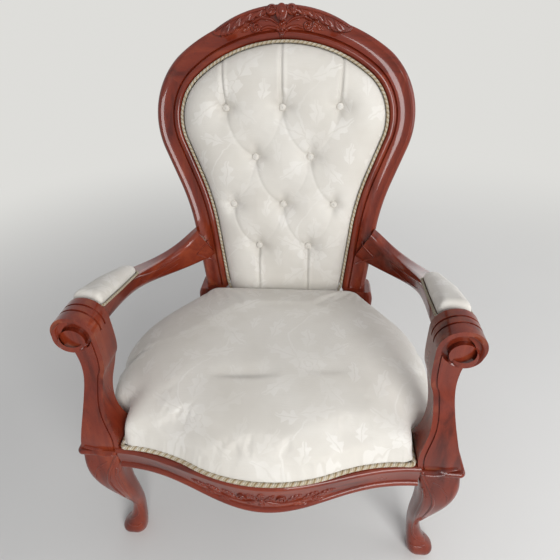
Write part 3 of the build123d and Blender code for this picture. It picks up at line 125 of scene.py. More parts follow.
class Shader:
    """A material under construction, with short calls for its nodes."""

    def __init__(self, name: str) -> None:
        """Start an empty node material.

        Args:
            name: Name of the material.
        """
        self.material = bpy.data.materials.new(name)
        self.material.use_nodes = True
        self.tree = self.material.node_tree
        self.tree.nodes.clear()
        output = self.tree.nodes.new("ShaderNodeOutputMaterial")
        self.surface = self.tree.nodes.new("ShaderNodeBsdfPrincipled")
        self.tree.links.new(self.surface.outputs[0], output.inputs[0])

    def put(self, socket: Socket, value: object) -> None:
        """Link a socket to an input, or write a plain value into it.

        Args:
            socket: Input socket.
            value: Output socket, number or tuple.
        """
        if isinstance(value, Socket):
            self.tree.links.new(value, socket)
        else:
            socket.default_value = value

    def node(self, kind: str, out: int | str = 0, settings: dict | None = None, **inputs: object) -> Socket:
        """Add a node and give one of its outputs.

        Args:
            kind: Node type without its common prefix.
            out: Output wanted.
            settings: Properties of the node itself.
            **inputs: Values by input name, with underscores for spaces.

        Returns:
            The output socket.
        """
        made = self.tree.nodes.new("ShaderNode" + kind)
        for key, value in (settings or {}).items():
            setattr(made, key, value)
        for key, value in inputs.items():
            self.put(made.inputs[key.replace("_", " ")], value)
        return made.outputs[out]

    def math(self, operation: str, *values: object) -> Socket:
        """Add a math node.

        Args:
            operation: Name of the operation.
            *values: Numbers or sockets.

        Returns:
            The output socket.
        """
        made = self.tree.nodes.new("ShaderNodeMath")
        made.operation = operation
        for socket, value in zip(made.inputs, values):
            self.put(socket, value)
        return made.outputs[0]

    def times(self, first: object, second: object) -> Socket:
        """Product of two values."""
        return self.math("MULTIPLY", first, second)

    def plus(self, first: object, second: object) -> Socket:
        """Sum of two values."""
        return self.math("ADD", first, second)

    def minus(self, first: object, second: object) -> Socket:
        """First value less the second."""
        return self.math("SUBTRACT", first, second)

    def noise(self, place: Socket, scale: float, detail: float, **inputs: float) -> Socket:
        """Cloudy noise over a place, with values round 0.5."""
        return self.node("TexNoise", "Fac", Vector=place, Scale=scale, Detail=detail, **inputs)

    def parts(self, vector: Socket) -> list[Socket]:
        """First two parts of a vector."""
        return list(self.node("SeparateXYZ", Vector=vector).node.outputs[:2])

    def weave(self, place: Sequence[Socket], thread: float) -> Socket:
        """Height of a plain weave along two directions, with threads of a width in metres."""
        return self.times(*[self.math("SINE", self.times(way, 2 * math.pi / thread)) for way in place])

    @staticmethod
    def opaque(value: object) -> object:
        """A plain colour with its fourth value, and anything else as it is."""
        return (*value, 1.0) if isinstance(value, tuple) and len(value) == 3 else value

    def total(self, operation: str, values: Sequence[object]) -> Socket:
        """Fold several values together with one operation.

        Args:
            operation: Name of the operation.
            values: Numbers or sockets.

        Returns:
            The output socket.
        """
        result = values[0]
        for value in values[1:]:
            result = self.math(operation, result, value)
        return result

    def step(self, value: object, low: float, high: float) -> Socket:
        """Smooth step of a value from 0 at a low limit to 1 at a high one.

        Args:
            value: Number or socket.
            low: Limit that gives 0.
            high: Limit that gives 1.

        Returns:
            The output socket.
        """
        made = self.tree.nodes.new("ShaderNodeMapRange")
        made.interpolation_type = "SMOOTHSTEP"
        for socket, number in zip(made.inputs, (value, low, high, 0.0, 1.0)):
            self.put(socket, number)
        return made.outputs[0]

    def mix(self, share: object, first: object, second: object) -> Socket:
        """Mix two colours.

        Args:
            share: Share of the second colour.
            first: Colour or socket.
            second: Colour or socket.

        Returns:
            The output socket.
        """
        made = self.tree.nodes.new("ShaderNodeMix")
        made.data_type = "RGBA"
        self.put(made.inputs[0], share)
        for index, value in ((6, first), (7, second)):
            self.put(made.inputs[index], self.opaque(value))
        return made.outputs[2]

    def bump(self, height: object, strength: float, distance: float, under: object = None) -> Socket:
        """Add a bump node.

        Args:
            height: Height socket.
            strength: Strength of the bump.
            distance: Height of a full step in metres.
            under: Normal of a bump below this one.

        Returns:
            The normal socket.
        """
        made = self.tree.nodes.new("ShaderNodeBump")
        made.inputs["Strength"].default_value = strength
        made.inputs["Distance"].default_value = distance
        self.put(made.inputs["Height"], height)
        if under is not None:
            self.put(made.inputs["Normal"], under)
        return made.outputs[0]

    def set(self, **inputs: object) -> Finish:
        """Fill in the surface shader.

        Args:
            **inputs: Values by input name, with underscores for spaces.

        Returns:
            The finished material.
        """
        for key, value in inputs.items():
            self.put(self.surface.inputs[key.replace("_", " ")], self.opaque(value))
        return self.material


@dataclass(frozen=True)
class VarnishedWood:
    """Red-brown stained wood under a gloss varnish, rubbed pale along its edges, with painted shade darkening
    its hollows.
    """

    dark: Colour = (0.06, 0.0072, 0.0034)
    middle: Colour = (0.16, 0.0205, 0.0078)
    light: Colour = (0.25, 0.042, 0.0138)
    rubbed: Colour = (0.4, 0.14, 0.055)
    # Painted shade: near-black colour mixed into the concave places of the surface.
    hollow: Colour = (0.02, 0.005, 0.003)

    def build(self, grain: Grain) -> Finish:
        """Make the finish for one direction of the grain.

        Args:
            grain: Direction of the grain.

        Returns:
            The material.
        """
        s = Shader(f"varnished_wood_{grain.name.lower()}")
        place = s.node("TexCoord", "Object")
        stretched = s.node("Mapping", Vector=place, Scale=grain.value)
        figure = s.noise(stretched, 7.0, 6.0, Roughness=0.62, Distortion=0.5)
        pores = s.noise(stretched, 95.0, 3.0, Roughness=0.7)
        cloud = s.noise(place, 9.0, 3.0)
        tone = s.plus(s.times(figure, 0.75), s.times(cloud, 0.28))
        base = s.mix(s.step(tone, 0.3, 0.54), self.dark, self.middle)
        base = s.mix(s.step(tone, 0.5, 0.76), base, self.light)
        base = s.mix(s.times(s.step(pores, 0.56, 0.72), 0.45), base, self.dark)
        bend = s.node("NewGeometry", "Pointiness")
        edge = s.step(bend, 0.53, 0.6)
        patchy = s.step(s.noise(place, 38.0, 4.0), 0.5, 0.66)
        base = s.mix(s.times(s.times(edge, patchy), 0.16), base, self.rubbed)
        # Painted shade: concave places (low pointiness) are darkened towards the hollow colour.
        hollow = s.minus(1.0, s.step(bend, 0.4, 0.49))
        base = s.mix(s.times(hollow, 0.3), base, self.hollow)
        rub = s.noise(place, 26.0, 5.0, Roughness=0.65)
        rough = s.plus(0.2, s.times(rub, 0.2))
        waves = s.bump(s.noise(place, 15.0, 1.5), 0.22, 0.004)
        normal = s.bump(pores, 0.1, 0.0006, waves)
        return s.set(
            Base_Color=base,
            Roughness=rough,
            Normal=normal,
            Coat_Weight=0.6,
            Coat_Roughness=0.05,
            Coat_IOR=1.5,
            Specular_IOR_Level=0.1,
        )


@dataclass(frozen=True)
class PlainWood:
    """Planed, unfinished frame wood."""

    colour: Colour = (0.42, 0.26, 0.13)
    streak: Colour = (0.3, 0.17, 0.08)

    def build(self) -> Finish:
        """Make the finish.

        Returns:
            The material.
        """
        s = Shader("plain_wood")
        place = s.node("Mapping", Vector=s.node("TexCoord", "Object"), Scale=(0.6, 6.0, 6.0))
        streak = s.noise(place, 30.0, 6.0, Roughness=0.7)
        base = s.mix(s.step(streak, 0.4, 0.65), self.colour, self.streak)
        return s.set(Base_Color=base, Roughness=0.7, Normal=s.bump(streak, 0.2, 0.001))


@dataclass(frozen=True)
class Leaf:
    """One leaf of the woven figure, as a place, size and turn in the repeat, in metres."""

    x: float
    y: float
    length: float
    width: float
    turn: float


@dataclass(frozen=True)
class Damask:
    """Ivory cover with a floral figure woven in its own colour."""

    ground: Colour = (0.665, 0.64, 0.59)
    figure: Colour = (0.735, 0.715, 0.675)
    shade: Colour = (0.585, 0.555, 0.5)
    repeat: tuple[float, float] = (0.2, 0.26)
    thread: float = 0.0011
    sway: float = 0.045
    fray: float = 0.009
    leaves: tuple[Leaf, ...] = (
        Leaf(0.054, 0.04, 0.088, 0.04, 35),
        Leaf(-0.054, 0.032, 0.084, 0.038, 150),
        Leaf(0.044, -0.054, 0.084, 0.038, -42),
        Leaf(-0.048, -0.05, 0.086, 0.038, 217),
        Leaf(0.0, 0.07, 0.066, 0.034, 88),
        Leaf(-0.062, 0.098, 0.074, 0.033, 68),
        Leaf(0.066, 0.1, 0.064, 0.029, 122),
        Leaf(0.022, -0.102, 0.074, 0.033, 18),
        Leaf(-0.03, -0.112, 0.062, 0.029, 162),
        Leaf(-0.086, -0.004, 0.052, 0.025, 95),
        Leaf(0.087, -0.012, 0.052, 0.025, 80),
    )

    def _leaf(self, s: Shader, x: Socket, y: Socket, leaf: Leaf) -> Socket:
        """Mask of one lobed leaf with its veins left bare.

        Args:
            s: Material under construction.
            x: Place across the repeat.
            y: Place up the repeat.
            leaf: The leaf.

        Returns:
            The mask socket.
        """
        turn = math.radians(leaf.turn)
        dx = s.minus(x, leaf.x)
        dy = s.minus(y, leaf.y)
        cos, sin = math.cos(turn), math.sin(turn)
        along = s.plus(s.times(dx, cos), s.times(dy, sin))
        across = s.minus(s.times(dy, cos), s.times(dx, sin))
        along = s.math("DIVIDE", along, leaf.length / 2)
        across = s.math("ABSOLUTE", s.math("DIVIDE", across, leaf.width / 2))
        swept = s.minus(s.times(along, 9.5), s.times(across, 3.0))
        lobes = s.plus(0.82, s.times(s.math("SINE", swept), 0.3))
        body = s.times(s.minus(1.0, s.times(along, along)), lobes)
        inside = s.step(s.minus(body, across), 0.0, 0.17)
        vein = s.step(across, 0.03, 0.12)
        return s.times(inside, vein)

    def _bloom(self, s: Shader, x: Socket, y: Socket) -> Socket:
        """Mask of the double bloom in the middle of the repeat.

        Args:
            s: Material under construction.
            x: Place across the repeat.
            y: Place up the repeat.

        Returns:
            The mask socket.
        """
        reach = s.math("SQRT", s.plus(s.times(x, x), s.times(y, y)))
        turn = s.math("ARCTAN2", y, x)
        petals = s.times(s.math("COSINE", s.times(turn, 6.0)), 0.0055)
        ruffle = s.times(s.math("COSINE", s.times(turn, 18.0)), 0.0016)
        outline = s.plus(s.plus(petals, ruffle), 0.031)
        bloom = s.step(s.minus(outline, reach), 0.0, 0.0018)
        inner = s.minus(s.minus(0.017, s.times(petals, 0.6)), reach)
        ring = s.step(s.math("ABSOLUTE", inner), 0.0008, 0.0022)
        eye = s.step(s.math("ABSOLUTE", s.minus(reach, 0.006)), 0.0005, 0.0018)
        return s.times(s.times(bloom, ring), eye)

    def build(self) -> Finish:
        """Make the finish.

        Returns:
            The material.
        """
        s = Shader("damask_cover")
        cloth = s.node("UVMap", "UV")
        flat = s.parts(cloth)
        clouds = (s.node("TexNoise", "Color", Vector=cloth, Scale=scale, Detail=2.0) for scale in (9.0, 70.0))
        sway, fray = (s.parts(cloud) for cloud in clouds)
        u, v = (
            s.total("ADD", [place, s.times(slow, self.sway), s.times(fast, self.fray)])
            for place, slow, fast in zip(flat, sway, fray)
        )
        column = s.math("DIVIDE", u, self.repeat[0])
        drop = s.times(s.math("FLOOR", column), 0.5)
        row = s.plus(s.math("DIVIDE", v, self.repeat[1]), drop)
        x = s.times(s.minus(s.math("FRACT", column), 0.5), self.repeat[0])
        y = s.times(s.minus(s.math("FRACT", row), 0.5), self.repeat[1])
        masks = [self._leaf(s, x, y, leaf) for leaf in self.leaves]
        masks.append(self._bloom(s, x, y))
        bend = s.times(s.math("SINE", s.times(y, 2 * math.pi / self.repeat[1])), 0.038)
        stem = s.math("ABSOLUTE", s.plus(x, bend))
        masks.append(s.minus(1.0, s.step(stem, 0.0012, 0.0026)))
        figure = s.total("MAXIMUM", masks)
        worn = s.noise(cloth, 8.0, 3.0)
        figure = s.times(figure, s.plus(0.3, s.times(s.step(worn, 0.35, 0.62), 0.7)))
        tone = s.noise(cloth, 4.5, 4.0, Roughness=0.6)
        base = s.mix(s.step(tone, 0.28, 0.66), self.shade, self.ground)
        rib = s.node("Mapping", Vector=cloth, Scale=(22.0, 620.0, 1.0))
        streak = s.noise(rib, 1.0, 2.0, Roughness=0.6)
        base = s.mix(s.times(s.step(streak, 0.48, 0.76), 0.3), base, self.shade)
        base = s.mix(s.times(figure, 0.46), base, self.figure)
        normal = s.bump(s.weave(flat, self.thread), 0.1, 0.0004)
        normal = s.bump(s.plus(streak, s.times(figure, 0.7)), 0.16, 0.0011, normal)
        rough = s.minus(0.8, s.times(figure, 0.25))
        sheen = {"Sheen_Weight": 0.2, "Sheen_Roughness": 0.45}
        return s.set(Base_Color=base, Roughness=rough, Normal=normal, **sheen)


@dataclass(frozen=True)
class Yarn:
    """One strand of a twisted cord, with painted shade in the grooves between strands."""

    name: str
    colour: Colour
    # Darker tone of the yarn for random patches; 0.3 times it is the painted shade colour in the grooves.
    shadow: Colour

    def build(self) -> Finish:
        """Make the finish.

        Returns:
            The material.
        """
        s = Shader(self.name)
        place = s.node("TexCoord", "Object")
        fibre = s.noise(place, 900.0, 3.0)
        patch = s.noise(place, 16.0, 3.0)
        base = s.mix(s.step(patch, 0.35, 0.7), self.shadow, self.colour)
        # Painted shade: the grooves between strands (low pointiness) are darkened.
        deep = s.minus(1.0, s.step(s.node("NewGeometry", "Pointiness"), 0.4, 0.5))
        base = s.mix(s.times(deep, 0.8), base, tuple(0.3 * c for c in self.shadow))
        return s.set(Base_Color=base, Roughness=0.6, Normal=s.bump(fibre, 0.4, 0.0006), Sheen_Weight=0.2)


@dataclass(frozen=True)
class WovenCloth:
    """Plain woven cloth: jute webbing or lining."""

    name: str
    colour: Colour
    thread: float

    def build(self) -> Finish:
        """Make the finish.

        Returns:
            The material.
        """
        s = Shader(self.name)
        place = s.node("TexCoord", "Object")
        weave = s.weave(s.parts(place), self.thread)
        tone = s.noise(place, 60.0, 4.0)
        base = s.mix(s.step(tone, 0.3, 0.7), tuple(0.6 * c for c in self.colour), self.colour)
        return s.set(Base_Color=base, Roughness=0.85, Normal=s.bump(weave, 0.4, 0.0006))


@dataclass(frozen=True)
class DullSteel:
    """Plain steel of the wood screws."""

    colour: Colour = (0.45, 0.44, 0.42)

    def build(self) -> Finish:
        """Make the finish.

        Returns:
            The material.
        """
        s = Shader("dull_steel")
        marks = s.noise(s.node("TexCoord", "Object"), 300.0, 3.0)
        rough = s.plus(0.3, s.times(marks, 0.2))
        base = s.mix(marks, tuple(0.7 * c for c in self.colour), self.colour)
        return s.set(Base_Color=base, Metallic=1.0, Roughness=rough)


class Finishes:
    """All finishes of the chair, each made once."""

    def __init__(self) -> None:
        """Make the materials."""
        wood = VarnishedWood()
        self.wood = {grain: wood.build(grain) for grain in Grain}
        self.frame_wood = PlainWood().build()
        self.cover = Damask().build()
        self.cords = [
            Yarn("cord_cream", (0.74, 0.67, 0.52), (0.58, 0.49, 0.34)).build(),
            Yarn("cord_ivory", (0.8, 0.75, 0.64), (0.66, 0.58, 0.45)).build(),
            Yarn("cord_gold", (0.52, 0.4, 0.23), (0.4, 0.29, 0.15)).build(),
        ]
        self.webbing = WovenCloth("jute_webbing", (0.2, 0.13, 0.06), 0.002).build()
        self.lining = WovenCloth("lining_cloth", (0.012, 0.012, 0.013), 0.0012).build()
        self.steel = DullSteel().build()


def grid_faces(rows: int, columns: int, closed: bool = False) -> list[Face]:
    """Quads of a grid of points stored row by row.

    Args:
        rows: Number of rows.
        columns: Points in a row.
        closed: Whether each row runs round to its own start.

    Returns:
        Faces as index tuples.
    """
    faces = []
    for row in range(rows - 1):
        for column in range(columns if closed else columns - 1):
            after = (column + 1) % columns
            low = row * columns
            high = low + columns
            faces.append((low + column, low + after, high + after, high + column))
    return faces


def add_object(name: str, data: bpy.types.ID) -> Piece:
    """Put a new object into the scene.

    Args:
        name: Its name.
        data: Its mesh, light or camera.

    Returns:
        The object.
    """
    item = bpy.data.objects.new(name, data)
    bpy.context.scene.collection.objects.link(item)
    return item


def kept_cells(index: Rows) -> list[Face]:
    """Quads of a grid of point numbers, in which -1 stands for a point that is left out."""
    rings = np.stack([index[:-1, :-1], index[:-1, 1:], index[1:, 1:], index[1:, :-1]], -1)
    return [tuple(map(int, ring)) for ring in rings.reshape(-1, 4) if ring.min() >= 0]


def new_piece(
    name: str, points: Rows, faces: Sequence[Face], materials: Sequence[Finish]
) -> Piece:
    """Make a smooth mesh piece that moves with the chair.

    Args:
        name: Name of the piece.
        points: Corners in metres.
        faces: Faces as index tuples.
        materials: Materials of the piece.

    Returns:
        The new object.
    """
    mesh = bpy.data.meshes.new(name)
    mesh.from_pydata([tuple(map(float, p)) for p in points], [], [tuple(f) for f in faces])
    mesh.validate()
    mesh.shade_smooth()
    piece = add_object(name, mesh)
    for material in materials:
        mesh.materials.append(material)
    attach(piece, BODY)
    LOG.info("%s: %d faces", name, len(mesh.polygons))
    return piece


def read_points(mesh: bpy.types.Mesh) -> Rows:
    """Points of a mesh.

    Args:
        mesh: The mesh.

    Returns:
        Rows of three coordinates in metres.
    """
    points = np.zeros(len(mesh.vertices) * 3)
    mesh.vertices.foreach_get("co", points)
    return points.reshape(-1, 3)


def surface_tree(item: Piece) -> BVHTree:
    """Search tree over the surface of an object."""
    return BVHTree.FromObject(item, bpy.context.evaluated_depsgraph_get())


def line_tree(line: Rows) -> KDTree:
    """Search tree over the points of a flat line.

    Args:
        line: Rows of two coordinates.

    Returns:
        The tree, with 0 as the third coordinate.
    """
    tree = KDTree(len(line))
    for number, (x, y) in enumerate(line):
        tree.insert((x, y, 0), number)
    tree.balance()
    return tree


def lay_flat(
    piece: Piece,
    to_flat: Callable[[Rows], Rows],
    fall: float = 0.0,
    spread: float = 2.2,
) -> None:
    """Give a piece the flat cloth coordinates of its cover, in metres.

    Args:
        piece: The piece.
        to_flat: Gives the place on the cloth of each point.
        fall: Height from which the cover runs down the sides, for a cover laid from above.
        spread: How soon it runs straight out from the middle, over the size of the piece.
    """
    mesh = piece.data
    points = read_points(mesh)
    flat = to_flat(points).copy()
    if fall:
        low, high = points.min(0)[:2], points.max(0)[:2]
        away = (points[:, :2] - (high + low) / 2) / (high - low) * spread
        away /= np.maximum(np.linalg.norm(away, axis=1), 1.0)[:, None]
        flat += away * np.maximum(fall - points[:, 2:3], 0)
    corners = np.zeros(len(mesh.loops), dtype=np.int64)
    mesh.loops.foreach_get("vertex_index", corners)
    layer = mesh.uv_layers.new(name="UVMap")
    layer.data.foreach_set("uv", flat[corners].astype(np.float32).ravel())


def ramp(value: Rows, start: float, span: float) -> Rows:
    """Rise from 0 to 1 over a span."""
    return np.clip((value - start) / span, 0, 1)


def hump(value: Rows, width: float) -> Rows:
    """Round hump of height 1 over 0."""
    return np.exp(-((value / width) ** 2))


def curve_points(start: Point2, control: Point2, end: Point2, share: Rows) -> Rows:
    """Points at shares of a curve that is drawn towards a control point."""
    first, middle, last = np.array(start), np.array(control), np.array(end)
    return (1 - share) ** 2 * first + 2 * share * (1 - share) * middle + share**2 * last


def both_sides(right: Sequence[Point2]) -> Rows:
    """Whole line, from left to right, from a right half that runs from the middle out."""
    half = np.array(right)
    return np.concatenate([half[:0:-1] * (-1, 1), half])


def arc_points(start: Point2, middle: Point2, end: Point2, spacing: float) -> list[Point2]:
    """Points along the arc through three points, without its last point.

    Args:
        start: First point.
        middle: Point on the way.
        end: Last point.
        spacing: Greatest step.

    Returns:
        The points.
    """
    (ax, ay), (bx, by), (cx, cy) = start, middle, end
    d = 2 * (ax * (by - cy) + bx * (cy - ay) + cx * (ay - by))
    ux = ((ax**2 + ay**2) * (by - cy) + (bx**2 + by**2) * (cy - ay) + (cx**2 + cy**2) * (ay - by)) / d
    uy = ((ax**2 + ay**2) * (cx - bx) + (bx**2 + by**2) * (ax - cx) + (cx**2 + cy**2) * (bx - ax)) / d
    radius = math.hypot(ax - ux, ay - uy)
    first = math.atan2(ay - uy, ax - ux)
    turn = (math.atan2(cy - uy, cx - ux) - first) % (2 * math.pi)
    via = (math.atan2(by - uy, bx - ux) - first) % (2 * math.pi)
    if via > turn:
        turn -= 2 * math.pi
    count = max(2, math.ceil(abs(turn) * radius / spacing))
    angles = [first + turn * i / count for i in range(count)]
    return [(ux + radius * math.cos(a), uy + radius * math.sin(a)) for a in angles]


def line_points(start: Point2, end: Point2, spacing: float) -> list[Point2]:
    """Points along a straight run, without its last point."""
    count = max(1, math.ceil(math.dist(start, end) / spacing))
    return [tuple(np.add(start, np.subtract(end, start) * (i / count))) for i in range(count)]


def rounded_loop(corners: Sequence[Point2], radii: Sequence[float], spacing: float) -> list[Point2]:
    """Closed line through corners that are rounded off.

    Args:
        corners: Corners in order.
        radii: Radius at each corner.
        spacing: Greatest step.

    Returns:
        Points of the closed line.
    """
    ends = []
    count = len(corners)
    for index, corner in enumerate(corners):
        here = Vector(corner)
        back = (Vector(corners[index - 1]) - here).normalized()
        ahead = (Vector(corners[(index + 1) % count]) - here).normalized()
        half = back.angle(ahead) / 2
        cut = radii[index] / math.tan(half)
        bisector = (back + ahead).normalized()
        middle = here + bisector * (radii[index] / math.sin(half) - radii[index])
        ends.append((here + back * cut, middle, here + ahead * cut))
    points: list[Point2] = []
    for index, (start, middle, end) in enumerate(ends):
        points += arc_points(tuple(start), tuple(middle), tuple(end), spacing)
        points += line_points(tuple(end), tuple(ends[(index + 1) % count][0]), spacing)
    return points


@dataclass
class BackShape:
    """Leaning plane of the back and the outline inside its frame, in millimetres."""

    tilt: float = math.radians(13.5)
    rear_y: float = 357.0
    frame_top: float = 634.0
    thickness: float = 40.0
    foot_z: float = 380.0
    shoulder: Point2 = (117.0, 420.0)
    shoulder_radius: float = 122.0
    top: float = 583.0
    side_slope: float = math.radians(20.8)
    side_straight: float = 82.0
    waist_radius: float = 565.0
    foot_slope: float = math.radians(7.0)
    ledge: float = -24.0
    pad_foot: float = 380.0
    button_rows: tuple[tuple[float, float, int], ...] = (
        (447.0, 128.0, 3),
        (340.0, 64.0, 2),
        (229.0, 121.0, 3),
        (125.0, 61.0, 2),
    )

    @property
    def foot_y(self) -> float:
        """Where the plane of the back stands at its foot, with its top at the rear of the chair."""
        return self.rear_y - self.frame_top * math.sin(self.tilt) - self.thickness * math.cos(self.tilt)

    def to_chair(self, places: Rows) -> Rows:
        """Points of the back's plane in the frame of the chair.

        Args:
            places: Rows of across, up and out, in millimetres.

        Returns:
            Points in metres.
        """
        x, v, w = np.asarray(places, float).reshape(-1, 3).T
        y = self.foot_y + v * math.sin(self.tilt) - w * math.cos(self.tilt)
        z = self.foot_z + v * math.cos(self.tilt) + w * math.sin(self.tilt)
        return np.stack([x, y, z], 1) * MM

    def from_chair(self, points: Rows) -> Rows:
        """Points of the chair in the plane of the back.

        Args:
            points: Points in metres.

        Returns:
            Rows of across, up and out, in millimetres.
        """
        x, y, z = (np.asarray(points, float) / MM).T
        y = y - self.foot_y
        z = z - self.foot_z
        v = y * math.sin(self.tilt) + z * math.cos(self.tilt)
        w = z * math.sin(self.tilt) - y * math.cos(self.tilt)
        return np.stack([x, v, w], 1)

    def level_foot(self, out: float) -> float:
        """Height up the back of the level foot of the pad, at a distance out of its plane."""
        return (self.pad_foot - self.foot_z - out * math.sin(self.tilt)) / math.cos(self.tilt)

    def half(self, inset: float, foot: float, spacing: float) -> list[Point2]:
        """Right half of the outline, from the middle of the head to the foot.

        Args:
            inset: How far it is moved into the opening.
            foot: Height of its foot.
            spacing: Greatest step.

        Returns:
            The points.
        """
        sx, sv = self.shoulder
        reach = self.top - self.shoulder_radius
        head_v = (reach**2 - sx**2 - sv**2) / (2 * (reach - sv))
        head = self.top - head_v - inset
        turn = math.atan2(sx, sv - head_v)
        radius = self.shoulder_radius - inset
        cos, sin = math.cos(self.side_slope), math.sin(self.side_slope)
        start = (0.0, head_v + head)
        join = (head * math.sin(turn), head_v + head * math.cos(turn))
        on_head = (head * math.sin(turn / 2), head_v + head * math.cos(turn / 2))
        side = (sx + radius * cos, sv - radius * sin)
        mid_turn = (math.pi / 2 - turn - self.side_slope) / 2
        on_shoulder = (sx + radius * math.cos(mid_turn), sv + radius * math.sin(mid_turn))
        side_foot = (side[0] - self.side_straight * sin, side[1] - self.side_straight * cos)
        waist = self.waist_radius + inset
        centre = (side_foot[0] + waist * cos, side_foot[1] - waist * sin)

        def on_waist(slope: float) -> Point2:
            """Point of the waist where the line has a slope."""
            return (centre[0] - waist * math.cos(slope), centre[1] + waist * math.sin(slope))

        waist_foot = on_waist(self.foot_slope)
        end = (waist_foot[0] + (foot - waist_foot[1]) * math.tan(self.foot_slope), foot)
        middle = on_waist((self.side_slope + self.foot_slope) / 2)
        return [
            *arc_points(start, on_head, join, spacing),
            *arc_points(join, on_shoulder, side, spacing),
            *line_points(side, side_foot, spacing),
            *arc_points(side_foot, middle, waist_foot, spacing),
            *line_points(waist_foot, end, spacing),
            end,
        ]

    def outline(self, inset: float, foot: float, spacing: float) -> Rows:
        """The open outline, from the left foot over the head to the right foot."""
        return both_sides(self.half(inset, foot, spacing))

    def buttons(self) -> list[Point2]:
        """Places of the buttons on the back, row by row."""
        rows = self.button_rows
        return [(reach * (2 * i / (count - 1) - 1), v) for v, reach, count in rows for i in range(count)]


@dataclass
class SeatShape:
    """Lines of the seat frame that the seat and its cord follow, in millimetres."""

    front_y: float = -357.0
    bulge: float = 54.0
    rail_top: float = 350.0
    post_inner: float = 268.0
    leg_back: float = -229.0
    side_x: float = 324.0
    arc_radius: float = 340.0
    arc_y: float = -145.0
    rear_face: float = 160.1
    rear_meet: float = 191.3
    housing: float = 3.0
    cord_margin: float = 1.0

    @property
    def corner_y(self) -> float:
        """Front of the rail at its ends."""
        return self.front_y + self.bulge

    def serpentine(self, half: float, end_y: float, spacing: float) -> list[Point2]:
        """Right half of the serpentine line, from the middle out.

        Args:
            half: Half of its width.
            end_y: Where its ends lie.
            spacing: Greatest step.

        Returns:
            The points, without the last one.
        """
        turn = 2 * math.atan2(self.bulge, half)
        radius = half / (2 * math.sin(turn))
        step = radius * math.sin(turn / 2)
        drop = radius * (1 - math.cos(turn / 2))
        middle = (half / 2, end_y - self.bulge / 2)
        full = arc_points((0, end_y - self.bulge), (step, end_y - self.bulge + drop), middle, spacing)
        return full + arc_points(middle, (half - step, end_y - drop), (half, end_y), spacing)

    def side(self, inset: float, end_y: float) -> tuple[Point2, Point2, Point2, Point2]:
        """Start, middle and end of a side rail's bend, and its rear end.

        Args:
            inset: How far the line is moved in from the outside of the rail.
            end_y: Where the rear end lies.

        Returns:
            The four points.
        """
        centre = self.side_x - self.arc_radius
        reach = Vector((self.rear_meet - centre, self.rear_face - self.arc_y))
        turn = math.atan2(reach.y, reach.x) - math.acos(self.arc_radius / reach.length)
        radius = self.arc_radius - inset

        def on_arc(angle: float) -> Point2:
            """Point of the bend at an angle."""
            return (centre + radius * math.cos(angle), self.arc_y + radius * math.sin(angle))

        end = on_arc(turn)
        rear = (end[0] - (end_y - end[1]) * math.tan(turn), end_y)
        return on_arc(0.0), on_arc(turn / 2), end, rear

    def cord_route(self, radius: float, gap: float, bend: float, spacing: float) -> Rows:
        """Line of the seat's cord, from one rear leg round the front to the other.

        Args:
            radius: Radius of the cord.
            gap: Clearance to the posts.
            bend: Radius of its bends.
            spacing: Greatest step.

        Returns:
            Rows of two coordinates.
        """
        inset = radius + self.cord_margin
        skew = bend * (1 - math.sqrt(0.5))
        front = self.corner_y + inset
        nx = self.post_inner - radius - gap
        ny = self.leg_back + radius + gap
        side, side_bend, bend_end, rear = self.side(inset, self.rear_face + self.housing)
        right = [
            *self.serpentine(nx - bend, front, spacing),
            *arc_points((nx - bend, front), (nx - skew, front + skew), (nx, front + bend), spacing),
            *line_points((nx, front + bend), (nx, ny - bend), spacing),
            *arc_points((nx, ny - bend), (nx + skew, ny - skew), (nx + bend, ny), spacing),
            *line_points((nx + bend, ny), (side[0] - bend, ny), spacing),
            *arc_points((side[0] - bend, ny), (side[0] - skew, ny + skew), (side[0], ny + bend), spacing),
            *line_points((side[0], ny + bend), side, spacing),
            *arc_points(side, side_bend, bend_end, spacing),
            *line_points(bend_end, rear, spacing),
            rear,
        ]
        return both_sides(right)


